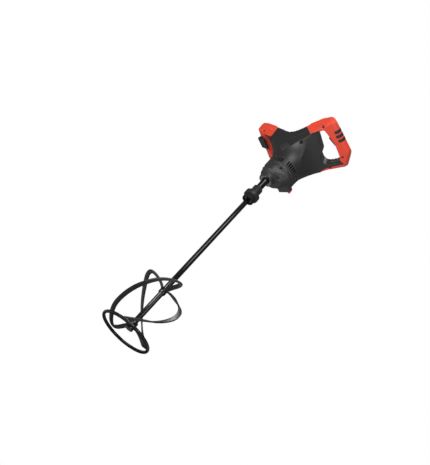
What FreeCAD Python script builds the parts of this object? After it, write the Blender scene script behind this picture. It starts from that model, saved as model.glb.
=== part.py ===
import FreeCAD, Part
import math
import os

# Mixing drill with a two-handed saddle housing and a helical ribbon paddle.
# Millimetres. Origin on the spindle axis at the front face of the gear case nose,
# +Z up along the spindle (the paddle hangs at -Z), +X towards the trigger handle, -Y the front.

# General clearances
overrun = 5.0                 # how far a cutter runs past what it cuts
running_gap = 0.05            # radial play of a shaft in its bearing
slide_gap = 0.3               # play round a moving piece
seat_gap = 0.1                # play round a piece that is dropped into its pocket

# Heights along the spindle, stacked from the nose face upwards
nose_length = 22.0
gear_clear = 2.0
output_gear_width = 12.0
stage_gap = 3.0
first_gear_width = 8.0
plate_thickness = 7.0
fan_space = 8.0
fan_height = 9.0
coil_height = 5.0
stack_height = 44.0
commutator_gap = 6.0
commutator_height = 15.0
bearing_height = 7.0
saddle_wall = 18.0

floor_z = nose_length
output_gear_z = floor_z + gear_clear
first_gear_z = output_gear_z + output_gear_width + stage_gap
plate_z = first_gear_z + first_gear_width + gear_clear
rim_z = plate_z + plate_thickness
fan_z = rim_z + fan_space
band_z = fan_z + fan_height + coil_height
stack_z = band_z + gear_clear
stack_top_z = stack_z + stack_height
commutator_z = stack_top_z + commutator_gap
top_bearing_z = commutator_z + commutator_height + gear_clear
saddle_z = top_bearing_z + bearing_height + saddle_wall

# Gear train: module and teeth of both stages
first_module = 1.0
first_pinion_teeth = 9
first_gear_teeth = 39
first_shift = 0.45
second_module = 1.25
second_pinion_teeth = 11
second_gear_teeth = 38
second_shift = 0.35
pressure_angle = 20.0
dedendum_share = 1.25         # tooth depth below the pitch circle, in modules
backlash = 0.2
motor_offset = 20.0           # motor axis behind the spindle axis
first_centres = first_module * (first_pinion_teeth + first_gear_teeth) / 2
second_centres = second_module * (second_pinion_teeth + second_gear_teeth) / 2
layshaft_y = (second_centres ** 2 - first_centres ** 2 + motor_offset ** 2) / (2 * motor_offset)
layshaft_x = math.sqrt(second_centres ** 2 - layshaft_y ** 2)

# Housing form
band_radius = 50.0            # vent band round the fan
rim_draft = 1.0               # the band is this much slimmer at the rim
band_proud = 2.5              # flank and front stand this far out of the band
flank_reach = 59.0            # flank waist
flank_rise = 48.0             # waist above the top of the band
armpit_reach = 80.0
armpit_rise = 80.0
grip_nose_reach = 147.0       # outermost line of a handle
grip_low_inset = 9.0          # lower and upper edge of the handle inside that line
grip_top_inset = 14.0
grip_low_lift = 24.0          # lower edge of the handle above the armpit
grip_nose_lift = 14.0
grip_top_lift = 12.0
shoulder_reach = 34.0
shoulder_rise = 9.0           # shoulder above the saddle
grip_low_reach = grip_nose_reach - grip_low_inset
grip_top_reach = grip_nose_reach - grip_top_inset
grip_low_rise = armpit_rise + grip_low_lift
grip_nose_rise = grip_low_rise + grip_nose_lift
grip_top_rise = grip_nose_rise + grip_top_lift
front_waist = 49.0            # front of the saddle before the spindle axis
front_arm_inset = 18.0        # the front edge of the saddle ends this far inside the full arm
front_arm_setback = 12.0      # that place behind the front of the arms
back_waist = 72.0
front_belly = 38.0            # front face at half height
back_belly = 73.0
front_reach = 70.0            # front of the arms
back_reach = 92.0
bulge_inset = 69.0            # where the front of an arm is full, inside the handle's line
bulge_setback = 2.5
bulge_round = 14.0
corner_setback = 5.0          # the front corner of a handle lies this far behind the bulge
corner_radius = 24.0          # plan rounding of the front handle corners
grip_splay = 0.1              # the grips run outwards by this much per unit of length
elbow_y = 40.0                # where the outer edge turns in towards the back
tail_inset = 27.0             # end of that turn on the back edge, inside the handle's line
back_arm_x = 58.0             # where the straight back edge of an arm begins
elbow_round = 12.0
tail_round = 8.0
flare_middle_reach = 62.5     # trumpet that frees the flanks from the round band
flare_middle_rise = 40.0
flare_reach = 112.0
flare_rise = 72.0
back_slant = 14.0             # bevel along the lower back edge of the loops
bulge_x = grip_nose_reach - bulge_inset
front_arm_x = bulge_x - front_arm_inset
tail_x = grip_nose_reach - tail_inset

# Handle loops. The hand hole, the red border and the screws are placed in the right loop's own frame:
# across the grip, along it and square to the loop
loop_slope = 22.0             # degrees
grip_inset = 21.0
grip_x = grip_nose_reach - grip_inset
grip_y = 12.0
grip_lift = 33.0              # middle of the grip above the armpit
grip_z = band_z + armpit_rise + grip_lift
grip_half_height = 14.0
parting_drop = 6.9            # lowest line of the parting below the upper motor bearing
hole_depth = 60.0             # half length of the hand hole cutter
hole_round = 9.0
hole_back_round = 17.0
hole_front_round = 4.5
hole_front_along = -55.0
hole_back_along = 51.0
hole_front_inner = -42.0
hole_front_outer = -20.5
hole_middle_outer = -8.1
hole_middle_along = -6.0
hole_back_inner = -60.0
hole_notch_along = 19.0
hole_bulge = -48.5
hole_bulge_along = 7.0

# Red grips: the border slants over the front arm, follows its lower edge into the hand hole,
# leaves the hole at the back and runs along the bevel of the back edge
red_start = -65.5             # border on the front arm at the parting
red_slant_right_share = 0.43  # lean of that border
red_slant_left_share = 0.06
red_edge_along = -58.6
red_tip_across = -32.0
red_back_along = 60.0
red_tail_across = -3.0
red_strip_across = -72.0

# Screws of the loops
front_screw_across = -20.6
front_screw_along = -64.0
corner_screw_across = -0.7
corner_screw_along = 39.3
back_screw_across = -46.9
back_screw_along = 62.3
screw_head_radius = 3.4
screw_head_height = 3.0
screw_radius = 1.6
screw_length = 14.0
screw_depth = 7.0             # underside of the head below the parting

# Trigger and switch, in the loop's own frame: across the grip, along the grip
trigger_front = -19.5
trigger_taper = 9.0
trigger_back = 2.5
trigger_tip = -27.0
trigger_heel = 2.5
trigger_width = 12.0
trigger_round = 2.0
trigger_travel = 6.0
trigger_room = 3.0
pivot_across = -1.5
pivot_along = -2.5
pin_radius = 1.5
pin_length = 22.0
pin_well_radius = 3.0
switch_depth = 8.0
switch_length = 40.0
switch_half = 6.0
button_across = 6.0
button_along = 24.0
button_radius = 4.5
button_low = 2.0
button_travel = 4.0
button_proud = 4.0

# Speed control unit in the left grip, in the loop's own frame
control_inner = -4.5
control_outer = 15.0
control_cap_inner = -18.0     # the cap under the grip covers its full width
control_cap_top = -12.6
control_front = -44.0
control_back = -8.0
control_low = -22.0
control_high = 9.0
control_round = 2.5
dial_radius = 8.5
dial_width = 8.0
dial_across = 5.7
dial_along = -26.0
dial_rise = 7.0
dial_teeth = 18
dial_groove = 0.8
axle_radius = 1.5
axle_length = 16.0

# Screws in the front face of the shell, beside the motor
face_screw_x = 52.0
face_screw_z = 134.0
face_screw_depth = 9.0        # head below the face

# Cable gland at the back of the saddle
gland_depth = 15.0            # axis below the saddle
gland_radius = 8.5
gland_bore = 4.5
gland_length = 18.0
gland_proud = 4.0

# Vents round the fan
side_slots = 10
front_slots = 8
slot_pitch = 8.2              # degrees
slot_width = 3.4
slot_margin = 3.0

# Motor
stator_radius = 43.0
stator_bore = 25.6
armature_radius = 24.5
armature_shaft_radius = 6.0
armature_journal = 4.0
winding_radius = 19.0
field_coil_outer = 38.0
field_coil_inner = 27.0
commutator_radius = 13.0
fan_radius = 38.0
fan_hub_radius = 10.0
fan_plate = 1.6
fan_blades = 9
fan_blade_thickness = 1.6
fan_blade_start = 18.0
bearing_radius = 11.0
brush_half_width = 3.2
brush_half_height = 4.0
brush_length = 14.0
brush_holder_wall = 1.8
brush_holder_gap = 2.0

# Gear case and gear plate
collar_radius = 21.5          # the 43 mm collar of drill stands
collar_length = 12.0
nose_radius = 27.0
nose_taper = 3.0
nose_overlap = 18.0           # the nose runs on into the case by this much
case_floor = 6.0
case_low_radius = 33.0
case_taper = 18.0
plate_radius = 42.5
plate_boss_radius = 15.0
plate_boss_height = 4.0
gear_room = 1.0               # radial room round a gear
tip_relief = 0.1
flank_shares = (0.0, 0.35, 0.7, 1.0)
rim_screw_circle = 46.3
rim_screw_radius = 1.8
rim_screw_grip = 14.0
rim_screw_head_radius = 3.2
rim_screw_head_height = 3.0
rim_screw_flange = 12.0       # case thickness under a screw head

# Bearings and bushes of the gear case
seal_depth = 3.0
seal_proud = 1.0
seal_radius = 18.0
seal_bore = 11.5
spindle_bearing_radius = 16.0
spindle_bearing_height = 11.0
spindle_journal = 10.0
spindle_top_journal = 5.0
spindle_bush_radius = 7.0
layshaft_journal = 3.5
layshaft_bush_radius = 5.0
layshaft_bush_length = 5.0
layshaft_seat = 5.5

# Spindle, coupling and lock sleeve
neck_radius = 9.7
neck_length = 36.0
flat_half = 8.2
flat_start = 20.0
flat_height = 10.0
stud_radius = 7.0
stud_length = 19.0
spindle_collar = 12.0
output_seat = 9.0
coupling_radius = 11.0
coupling_length = 50.0
coupling_web = 4.0
sleeve_radius = 14.0
sleeve_start = 1.0
sleeve_grip_length = 26.0
sleeve_flange_radius = 21.5
sleeve_flange_length = 12.0
sleeve_skirt_radius = 17.0
sleeve_skirt_length = 14.0
sleeve_mouth_radius = 13.0
sleeve_mouth_depth = 10.0
sleeve_fit = 0.1

# Gear selector at the back of the gear case
selector_x = 18.0
selector_z = 48.0
selector_boss_radius = 7.5
selector_boss_reach = 48.0    # face of the boss behind the motor axis
selector_stem_radius = 3.5
selector_stem_length = 7.5
knob_radius = 7.0
knob_base = 3.0
knob_bar_width = 5.5
knob_bar_height = 4.0

# Paddle
paddle_drop = 584.0           # nose face to the plane of the ring
shaft_radius = 6.95
shaft_end_rise = 12.0         # lower end of the shaft above the ring
ring_radius = 66.0            # centre line
ring_tube = 4.0
lower_hub_rise = 10.0
lower_hub_length = 22.0
lower_hub_radius = 10.5
upper_hub_rise = 129.0
upper_hub_length = 14.0
upper_hub_radius = 9.5
ribbon_count = 3
ribbon_start = -184.0         # degrees, lower arm of the first ribbon
ribbon_turn = 167.0           # degrees from lower to upper arm
ribbon_radius = 64.5          # middle of the band
ribbon_half_width = 6.2
ribbon_half_thickness = 2.0
ribbon_low_rise = 5.0
ribbon_high_rise = 150.0
ribbon_corner = 18.0
ribbon_sway_share = 0.75      # how far the climb gathers in the middle of the turn
arm_steps = 5
arm_start_share = 0.6         # start of the arm inside the hub, of the first step
corner_steps = 6
run_steps = 24
ribbon_stations = 41


def vec(x, y, z):
    return FreeCAD.Vector(x, y, z)


def line(a, b):
    return Part.LineSegment(a, b).toShape()


def arc(a, b, c):
    return Part.Arc(a, b, c).toShape()


def rod(radius, low, high, x=0, y=0):
    return Part.makeCylinder(radius, high - low, vec(x, y, low))


def ring(outer, inner, low, high, x=0, y=0):
    return rod(outer, low, high, x, y).cut(rod(inner, low - overrun, high + overrun, x, y))


def turned(profile, x=0, y=0):
    """Solid of revolution about a vertical axis from (radius, height) points."""
    points = [vec(x + radius, y, height) for radius, height in profile]
    wire = Part.makePolygon(points + points[:1])
    return Part.Face(wire).revolve(vec(x, y, 0), vec(0, 0, 1), 360)


def block(x0, x1, y0, y1, z0, z1):
    return Part.makeBox(x1 - x0, y1 - y0, z1 - z0, vec(x0, y0, z0))


def mirrored(shape):
    return shape.mirror(vec(0, 0, 0), vec(1, 0, 0))


def in_grip(shape):
    """Moves a shape from the right loop's own frame (across, along, up) into place."""
    placed = shape.copy()
    placed.rotate(vec(0, 0, 0), vec(0, 1, 0), -loop_slope)
    placed.translate(vec(grip_x, grip_y, grip_z))
    return placed


def save(name, shape):
    shape.exportStep("parts/" + name + ".step")


# Housing form: three crossed profiles, freed from the round band by a cone

def front_wire(y):
    """Outline of the front view at the given depth; the grips splay out towards the back."""
    splay = grip_splay * y
    places = {
        "rim": (band_radius + band_proud, rim_z - overrun),
        "band": (band_radius + band_proud, band_z),
        "flank": (flank_reach, band_z + flank_rise),
        "armpit": (armpit_reach, band_z + armpit_rise),
        "low": (grip_low_reach + splay, band_z + grip_low_rise),
        "nose": (grip_nose_reach + splay, band_z + grip_nose_rise),
        "top": (grip_top_reach + splay, band_z + grip_top_rise),
        "shoulder": (shoulder_reach, saddle_z + shoulder_rise),
    }
    right = {name: vec(x, y, z) for name, (x, z) in places.items()}
    left = {name: vec(-x, y, z) for name, (x, z) in places.items()}
    edges = []
    for half in (right, left):
        edges.append(line(half["rim"], half["band"]))
        edges.append(arc(half["band"], half["flank"], half["armpit"]))
        edges.append(line(half["armpit"], half["low"]))
        edges.append(arc(half["low"], half["nose"], half["top"]))
        edges.append(line(half["top"], half["shoulder"]))
    edges.append(arc(right["shoulder"], vec(0, y, saddle_z), left["shoulder"]))
    edges.append(line(left["rim"], right["rim"]))
    return Part.Wire(Part.sortEdges(edges)[0])


def front_profile():
    ends = [front_wire(-front_reach - corner_radius), front_wire(back_reach + corner_radius)]
    return Part.makeLoft(ends, True, True)


def side_profile():
    top_z = band_z + grip_top_rise + overrun
    low_z = rim_z - overrun
    front_top = -front_reach - overrun
    back_top = back_reach + overrun
    front_base = motor_offset - band_radius - band_proud
    back_base = motor_offset + band_radius + band_proud
    middle_z = band_z + flank_rise
    start = -grip_nose_reach - corner_radius

    def at(y, z):
        return vec(start, y, z)

    edges = [
        line(at(front_base, low_z), at(front_base, band_z)),
        arc(at(front_base, band_z), at(-front_belly, middle_z), at(front_top, top_z)),
        line(at(front_top, top_z), at(back_top, top_z)),
        arc(at(back_top, top_z), at(back_belly, middle_z), at(back_base, band_z)),
        line(at(back_base, band_z), at(back_base, low_z)),
        line(at(back_base, low_z), at(front_base, low_z)),
    ]
    return Part.Face(Part.Wire(edges)).extrude(vec(-2 * start, 0, 0))


def upright_at(prism, x, y):
    """The upright edges of a prism at the given place."""
    return [edge for edge in prism.Edges
            if math.hypot(edge.Vertexes[0].X - x, edge.Vertexes[0].Y - y) < running_gap
            and abs(edge.Vertexes[0].Z - edge.Vertexes[-1].Z) > overrun]


def plan_outline(side):
    """Corner places of one handle in plan: bulge, front corner, elbow and tail, with their rounding."""
    front_x = grip_nose_reach - grip_splay * front_reach
    elbow_x = grip_nose_reach + grip_splay * elbow_y
    return [(side * bulge_x, bulge_setback - front_reach, bulge_round),
            (side * front_x, corner_setback - front_reach, corner_radius),
            (side * elbow_x, elbow_y, elbow_round), (side * tail_x, back_reach, tail_round)]


def plan_profile():
    low_z = rim_z - 2 * overrun
    top_z = band_z + grip_top_rise + 2 * overrun
    right = plan_outline(1)
    left = plan_outline(-1)
    front_y = front_arm_setback - front_reach
    front = arc(vec(-front_arm_x, front_y, low_z), vec(0, -front_waist, low_z),
                vec(front_arm_x, front_y, low_z))
    back = arc(vec(back_arm_x, back_reach, low_z), vec(0, back_waist, low_z),
               vec(-back_arm_x, back_reach, low_z))
    edges = [front, back]
    for side in (1, -1):
        edges.append(line(vec(side * tail_x, back_reach, low_z), vec(side * back_arm_x, back_reach, low_z)))
        edges.append(line(vec(side * front_arm_x, front_y, low_z),
                          vec(side * bulge_x, bulge_setback - front_reach, low_z)))
    for outline in (right, left):
        points = [vec(x, y, low_z) for x, y, rounding in outline]
        edges += [line(start, end) for start, end in zip(points, points[1:])]
    prism = Part.Face(Part.Wire(Part.sortEdges(edges)[0])).extrude(vec(0, 0, top_z - low_z))
    for x, y, rounding in right + left:
        prism = prism.makeFillet(rounding, upright_at(prism, x, y))
    return prism


def flare():
    """Trumpet about the motor axis, open above."""
    top_z = band_z + grip_top_rise + 3 * overrun
    wide = 2 * grip_nose_reach

    def at(radius, z):
        return vec(radius, motor_offset, z)

    rim = at(band_radius - rim_draft, rim_z)
    band = at(band_radius, band_z)
    free = at(flare_reach, band_z + flare_rise)
    out = at(wide, band_z + flare_rise)
    edges = [
        line(at(0, rim_z), rim),
        line(rim, band),
        arc(band, at(flare_middle_reach, band_z + flare_middle_rise), free),
        line(free, out),
        line(out, at(wide, top_z)),
        line(at(wide, top_z), at(0, top_z)),
        line(at(0, top_z), at(0, rim_z)),
    ]
    return Part.Face(Part.Wire(edges)).revolve(vec(0, motor_offset, 0), vec(0, 0, 1), 360)


def back_bevel():
    """Cutter of the bevel along the lower back edge of the right loop."""
    start = -grip_x
    back = back_reach - grip_y
    points = [vec(start, back - back_slant, -grip_half_height),
              vec(start, back, back_slant - grip_half_height),
              vec(start, back + back_slant, back_slant - grip_half_height),
              vec(start, back + back_slant, -grip_half_height - back_slant),
              vec(start, back - back_slant, -grip_half_height - back_slant)]
    wedge = Part.Face(Part.makePolygon(points + points[:1])).extrude(vec(2 * grip_x, 0, 0))
    return in_grip(wedge)


def saddle_form():
    form = front_profile().common(side_profile()).common(plan_profile()).common(flare())
    return form.Solids[0]


def hand_hole():
    """Cutter of the right hand hole: narrow at the front, wide and round at the back."""
    places = [(hole_front_inner, hole_front_along, hole_front_round),
              (hole_front_outer, hole_front_along, hole_front_round),
              (hole_middle_outer, hole_middle_along, hole_round),
              (hole_middle_outer, hole_back_along, hole_back_round),
              (hole_back_inner, hole_back_along, hole_back_round),
              (hole_back_inner, hole_notch_along, hole_round),
              (hole_bulge, hole_bulge_along, hole_round)]
    corners = [vec(across, along, -hole_depth) for across, along, rounding in places]
    prism = Part.Face(Part.makePolygon(corners + corners[:1])).extrude(vec(0, 0, 2 * hole_depth))
    for across, along, rounding in places:
        prism = prism.makeFillet(rounding, upright_at(prism, across, along))
    return in_grip(prism)


def parting_wedge():
    """Everything above the V-shaped parting of the housing."""
    reach = 2 * grip_nose_reach
    low_z = top_bearing_z - parting_drop
    high_z = low_z + (grip_z - low_z) * reach / grip_x
    sky_z = high_z + grip_top_rise
    start = -front_reach - corner_radius
    places = [(-reach, high_z), (0, low_z), (reach, high_z), (reach, sky_z), (-reach, sky_z)]
    points = [vec(x, start, z) for x, z in places]
    wedge = Part.Face(Part.makePolygon(points + points[:1]))
    return wedge.extrude(vec(0, front_reach + back_reach + 2 * corner_radius, 0))


def grip_region(slant_share):
    """Region of the red grip in the right loop: a border square to the loop, cut off by a leaning plane."""
    far = 2 * grip_nose_reach
    hole_front = (hole_front_inner + hole_front_outer) / 2
    border = [(-far, -far), (-far, red_edge_along), (red_tip_across, red_edge_along),
              (hole_front, hole_front_along + hole_front_round), (hole_front, hole_middle_along),
              (hole_middle_outer - hole_round / 2, hole_back_along - hole_round),
              (red_tail_across, red_back_along),
              (red_strip_across, red_back_along), (red_strip_across, far), (far, far), (far, -far)]
    points = [vec(across, along, -far) for across, along in border]
    region = Part.Face(Part.makePolygon(points + points[:1])).extrude(vec(0, 0, 2 * far))
    lean = slant_share * far
    plane = [(-2 * far, -far), (red_start + lean, -far), (red_start - lean, far), (-2 * far, far)]
    points = [vec(across, -far, up) for across, up in plane]
    inner = Part.Face(Part.makePolygon(points + points[:1])).extrude(vec(0, far, 0))
    return in_grip(region.cut(inner))


def motor_bore():
    """Room for fan, stator and brushes inside the housing."""
    return rod(stator_radius + seat_gap, rim_z - overrun, top_bearing_z - gear_clear, 0, motor_offset)


def vent_slots():
    cutters = []
    for middle, count in ((0, side_slots), (90, front_slots), (180, side_slots), (270, front_slots)):
        for index in range(count):
            angle = middle + (index - (count - 1) / 2) * slot_pitch
            slot = block(stator_radius - overrun, band_radius + overrun, -slot_width / 2, slot_width / 2,
                         rim_z + slot_margin, band_z - slot_margin)
            slot.rotate(vec(0, 0, 0), vec(0, 0, 1), angle)
            slot.translate(vec(0, motor_offset, 0))
            cutters.append(slot)
    return cutters


def grip_screw_places():
    """Screws of the right loop in its own frame, across and along."""
    return [(front_screw_across, front_screw_along), (corner_screw_across, corner_screw_along),
            (back_screw_across, back_screw_along)]


def grip_screws():
    """Screws of the right loop: head in a deep well of the lower half, shank in the upper half."""
    screws = []
    for across, along in grip_screw_places():
        head = Part.makeCylinder(screw_head_radius, screw_head_height, vec(across, along, -screw_depth))
        shank = Part.makeCylinder(screw_radius, screw_length, vec(across, along, -screw_depth))
        screws.append(in_grip(head.fuse(shank)))
    return screws


def grip_screw_wells():
    wells = []
    for across, along in grip_screw_places():
        low = -screw_depth - 2 * grip_half_height
        well = Part.makeCylinder(screw_head_radius + seat_gap, -screw_depth + screw_head_height - low,
                                 vec(across, along, low))
        pilot = Part.makeCylinder(screw_radius, screw_length, vec(across, along, -screw_depth))
        wells.append(in_grip(well.fuse(pilot)))
    return wells


def trigger_outline(grow):
    """Side face of the trigger in the loop's frame, grown by the given play."""
    places = [(trigger_front - grow, trigger_tip - grow), (trigger_back + grow, trigger_tip - grow),
              (trigger_back + grow, trigger_heel + grow),
              (trigger_front + trigger_taper - grow, trigger_heel + grow)]
    points = [vec(across, along, 0) for across, along in places]
    return Part.Face(Part.makePolygon(points + points[:1]))


def trigger():
    face = trigger_outline(0)
    face.translate(vec(0, 0, -trigger_width / 2))
    body = face.extrude(vec(0, 0, trigger_width))
    uprights = [edge for edge in body.Edges if abs(edge.Length - trigger_width) < running_gap]
    body = body.makeFillet(trigger_round, uprights)
    bore = Part.makeCylinder(pin_radius + running_gap, 2 * trigger_width,
                             vec(pivot_across, pivot_along, -trigger_width))
    return in_grip(body.cut(bore))


def trigger_pocket():
    half = trigger_width / 2 + slide_gap
    room = block(trigger_front - trigger_room, trigger_back + trigger_travel + slide_gap,
                 trigger_tip - trigger_room, trigger_heel + trigger_room, -half, half)
    return in_grip(room)


def trigger_pin(radius):
    return in_grip(Part.makeCylinder(radius, pin_length, vec(pivot_across, pivot_along, -pin_length / 2)))


def pin_well():
    """Deep hole under the pin, through which it is driven in."""
    low = -2 * grip_half_height
    return in_grip(Part.makeCylinder(pin_well_radius, -pin_length / 2 - low,
                                     vec(pivot_across, pivot_along, low)))


def switch_box(grow):
    low = trigger_back + trigger_travel + slide_gap
    return in_grip(block(low - grow, low + switch_depth + grow, trigger_tip - grow,
                         trigger_tip + switch_length + grow, -switch_half - grow, switch_half + grow))


def lock_button(radius, low):
    stem = Part.makeCylinder(radius, grip_half_height + button_proud - low,
                             vec(button_across, button_along, low))
    return in_grip(stem)


def control_unit(grow):
    """Core and cap of the speed control unit, in the right loop's frame before it is mirrored."""
    core = block(control_inner - grow, control_outer + grow, control_front - grow, control_back + grow,
                 control_low - grow, control_high + grow)
    cap = block(control_cap_inner - grow, control_outer + grow, control_front - grow, control_back + grow,
                control_low - grow, control_cap_top + grow)
    return core, cap


def dial_room():
    middle = vec(dial_across, dial_along - dial_width / 2 - slide_gap, dial_rise)
    return Part.makeCylinder(dial_radius + slide_gap, dial_width + 2 * slide_gap, middle, vec(0, 1, 0))


def dial_axle(radius):
    start = vec(dial_across, dial_along - axle_length / 2, dial_rise)
    return Part.makeCylinder(radius, axle_length, start, vec(0, 1, 0))


def speed_control():
    core, cap = [piece.makeFillet(control_round, piece.Edges) for piece in control_unit(0)]
    unit = core.fuse(cap).cut(dial_room()).cut(dial_axle(axle_radius))
    return mirrored(in_grip(unit))


def speed_dial():
    wheel = Part.makeCylinder(dial_radius, dial_width,
                              vec(dial_across, dial_along - dial_width / 2, dial_rise),
                              vec(0, 1, 0))
    for index in range(dial_teeth):
        angle = 2 * math.pi * index / dial_teeth
        place = vec(dial_across + dial_radius * math.cos(angle), dial_along - dial_width / 2 - overrun,
                    dial_rise + dial_radius * math.sin(angle))
        wheel = wheel.cut(Part.makeCylinder(dial_groove, dial_width + 2 * overrun, place, vec(0, 1, 0)))
    return mirrored(in_grip(wheel.cut(dial_axle(axle_radius + running_gap))))


def face_wells():
    """Deep wells of the screws in the front face of the shell."""
    wells = []
    for x in (face_screw_x, -face_screw_x):
        wells.append(Part.makeCylinder(screw_head_radius + seat_gap, front_reach,
                                       vec(x, -front_belly, face_screw_z),
                                       vec(0, -1, 0)))
        wells.append(Part.makeCylinder(screw_head_radius + seat_gap, face_screw_depth,
                                       vec(x, -front_belly, face_screw_z), vec(0, 1, 0)))
        wells.append(Part.makeCylinder(screw_radius, face_screw_depth + screw_length,
                                       vec(x, -front_belly, face_screw_z), vec(0, 1, 0)))
    return wells


def face_screws():
    screws = []
    for x in (face_screw_x, -face_screw_x):
        start = vec(x, face_screw_depth - front_belly, face_screw_z)
        head = Part.makeCylinder(screw_head_radius, screw_head_height, start, vec(0, -1, 0))
        screws.append(head.fuse(Part.makeCylinder(screw_radius, screw_length, start, vec(0, 1, 0))))
    return screws


def housing_screws():
    loop_screws = grip_screws()
    return loop_screws + [mirrored(screw) for screw in loop_screws] + face_screws()


def cable_gland(radius):
    start = back_waist + gland_proud - gland_length
    return Part.makeCylinder(radius, gland_length, vec(0, start, saddle_z - gland_depth), vec(0, 1, 0))


def housing_parts():
    form = saddle_form()
    hole = hand_hole()
    bevel = back_bevel()
    form = form.cut(hole).cut(mirrored(hole)).cut(bevel).cut(mirrored(bevel))
    wedge = parting_wedge()
    lower = form.cut(wedge)
    upper = form.common(wedge)
    right = grip_region(red_slant_right_share)
    left = mirrored(grip_region(red_slant_left_share))
    right_low = lower.common(right)
    right_high = upper.common(right)
    left_low = lower.common(left)
    left_high = upper.common(left)
    shell = lower.cut(right).cut(left)
    cover = upper.cut(right).cut(left)

    shell = shell.cut(motor_bore())
    for slot in vent_slots():
        shell = shell.cut(slot)
    for hole in rim_screw_places():
        shell = shell.cut(rod(rim_screw_radius, rim_z - overrun, rim_z + rim_screw_grip, *hole))
    cover = cover.cut(motor_bore())
    cover = cover.cut(rod(bearing_radius, top_bearing_z - gear_clear - overrun,
                          top_bearing_z + bearing_height,
                          0, motor_offset))
    cover = cover.cut(rod(armature_journal + seat_gap, top_bearing_z,
                          top_bearing_z + bearing_height + gear_clear,
                          0, motor_offset))

    for well in grip_screw_wells():
        right_low = right_low.cut(well)
        right_high = right_high.cut(well)
        left_low = left_low.cut(mirrored(well))
        left_high = left_high.cut(mirrored(well))
        shell = shell.cut(well).cut(mirrored(well))
        cover = cover.cut(well).cut(mirrored(well))
    for pocket in (trigger_pocket(), trigger_pin(pin_radius), pin_well(), switch_box(seat_gap),
                   lock_button(button_radius + slide_gap, button_low - button_travel - slide_gap)):
        right_low = right_low.cut(pocket)
        right_high = right_high.cut(pocket)
    for well in face_wells():
        shell = shell.cut(well)
    cover = cover.cut(cable_gland(gland_radius))
    for room in control_unit(seat_gap) + (dial_room(),):
        left_low = left_low.cut(mirrored(in_grip(room)))
        left_high = left_high.cut(mirrored(in_grip(room)))
    return shell, cover, right_low, right_high, left_low, left_high


# Gear train

def involute(angle):
    return math.tan(angle) - angle


def toothed(module, teeth, shift, low, high, x, y, start_angle):
    """Spur gear blank with involute teeth, one tooth centred on the start angle."""
    pressure = math.radians(pressure_angle)
    pitch = module * teeth / 2
    base = pitch * math.cos(pressure)
    tip = pitch + module * (1 + shift) - tip_relief
    root = pitch - module * (dedendum_share - shift)
    thickness = module * (math.pi / 2 + 2 * shift * math.tan(pressure)) - backlash / 2
    half_pitch = thickness / (2 * pitch)

    def half_angle(radius):
        slant = math.acos(min(1, base / max(radius, base)))
        return half_pitch + involute(pressure) - involute(slant)

    radii = [root] + [max(root, base) + share * (tip - max(root, base)) for share in flank_shares]
    points = []
    for tooth in range(teeth):
        middle = math.radians(start_angle) + 2 * math.pi * tooth / teeth
        flank = [(radius, half_angle(radius)) for radius in radii]
        side = [(radius, middle - angle) for radius, angle in flank]
        side += [(radius, middle + angle) for radius, angle in reversed(flank)]
        points += [vec(x + radius * math.cos(turn), y + radius * math.sin(turn), low)
                   for radius, turn in side]
    return Part.Face(Part.makePolygon(points + points[:1])).extrude(vec(0, 0, high - low))


def towards(x0, y0, x1, y1):
    return math.degrees(math.atan2(y1 - y0, x1 - x0))


def rim_screw_places():
    places = []
    for index in range(4):
        angle = math.radians(45 + 90 * index)
        places.append((rim_screw_circle * math.cos(angle), motor_offset + rim_screw_circle * math.sin(angle)))
    return places


def rim_screws():
    head_z = rim_z - rim_screw_flange
    screws = []
    for x, y in rim_screw_places():
        head = rod(rim_screw_head_radius, head_z - rim_screw_head_height, head_z, x, y)
        screws.append(head.fuse(rod(rim_screw_radius, head_z - rim_screw_head_height, rim_z + rim_screw_grip,
                                    x, y)))
    return screws


def gear_tip(module, teeth, shift):
    return module * (teeth / 2 + 1 + shift)


def gear_case():
    low_z = floor_z - case_floor
    case_radius = band_radius - rim_draft
    body = turned([(0, low_z), (case_low_radius, low_z), (case_radius, low_z + case_taper),
                   (case_radius, rim_z),
                   (0, rim_z)], 0, motor_offset)
    nose_top = nose_length + nose_overlap
    nose = turned([(0, 0), (collar_radius, 0), (collar_radius, collar_length),
                   (nose_radius, collar_length + nose_taper), (nose_radius, nose_top), (0, nose_top)])
    body = body.fuse(nose)
    boss = Part.makeCylinder(selector_boss_radius, selector_boss_reach,
                             vec(selector_x, motor_offset, selector_z),
                             vec(0, 1, 0))
    body = body.fuse(boss).removeSplitter()
    rooms = [
        rod(gear_tip(second_module, second_gear_teeth, -second_shift) + gear_room, floor_z, plate_z),
        rod(gear_tip(second_module, second_pinion_teeth, second_shift) + gear_room, floor_z, plate_z,
            layshaft_x, layshaft_y),
        rod(gear_tip(first_module, first_gear_teeth, -first_shift) + gear_room, first_gear_z - gear_clear,
            plate_z,
            layshaft_x, layshaft_y),
        rod(gear_tip(first_module, first_pinion_teeth, first_shift) + gear_room, first_gear_z - gear_clear,
            plate_z,
            0, motor_offset),
        rod(plate_radius + seat_gap, plate_z, rim_z + overrun, 0, motor_offset),
        rod(seal_radius, -overrun, seal_depth),
        rod(spindle_bearing_radius, 0, seal_depth + spindle_bearing_height),
        rod(spindle_collar + gear_room, 0, floor_z + overrun),
        rod(layshaft_bush_radius, floor_z - layshaft_bush_length, floor_z + overrun, layshaft_x, layshaft_y),
        Part.makeCylinder(selector_stem_radius + running_gap, selector_boss_reach,
                          vec(selector_x, motor_offset + selector_boss_reach - selector_stem_length - slide_gap,
                              selector_z), vec(0, 1, 0)),
    ]
    for room in rooms:
        body = body.cut(room)
    head_z = rim_z - rim_screw_flange
    for x, y in rim_screw_places():
        body = body.cut(rod(rim_screw_head_radius + seat_gap, 0, head_z, x, y))
        body = body.cut(rod(rim_screw_radius, 0, rim_z + overrun, x, y))
    return body


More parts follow.
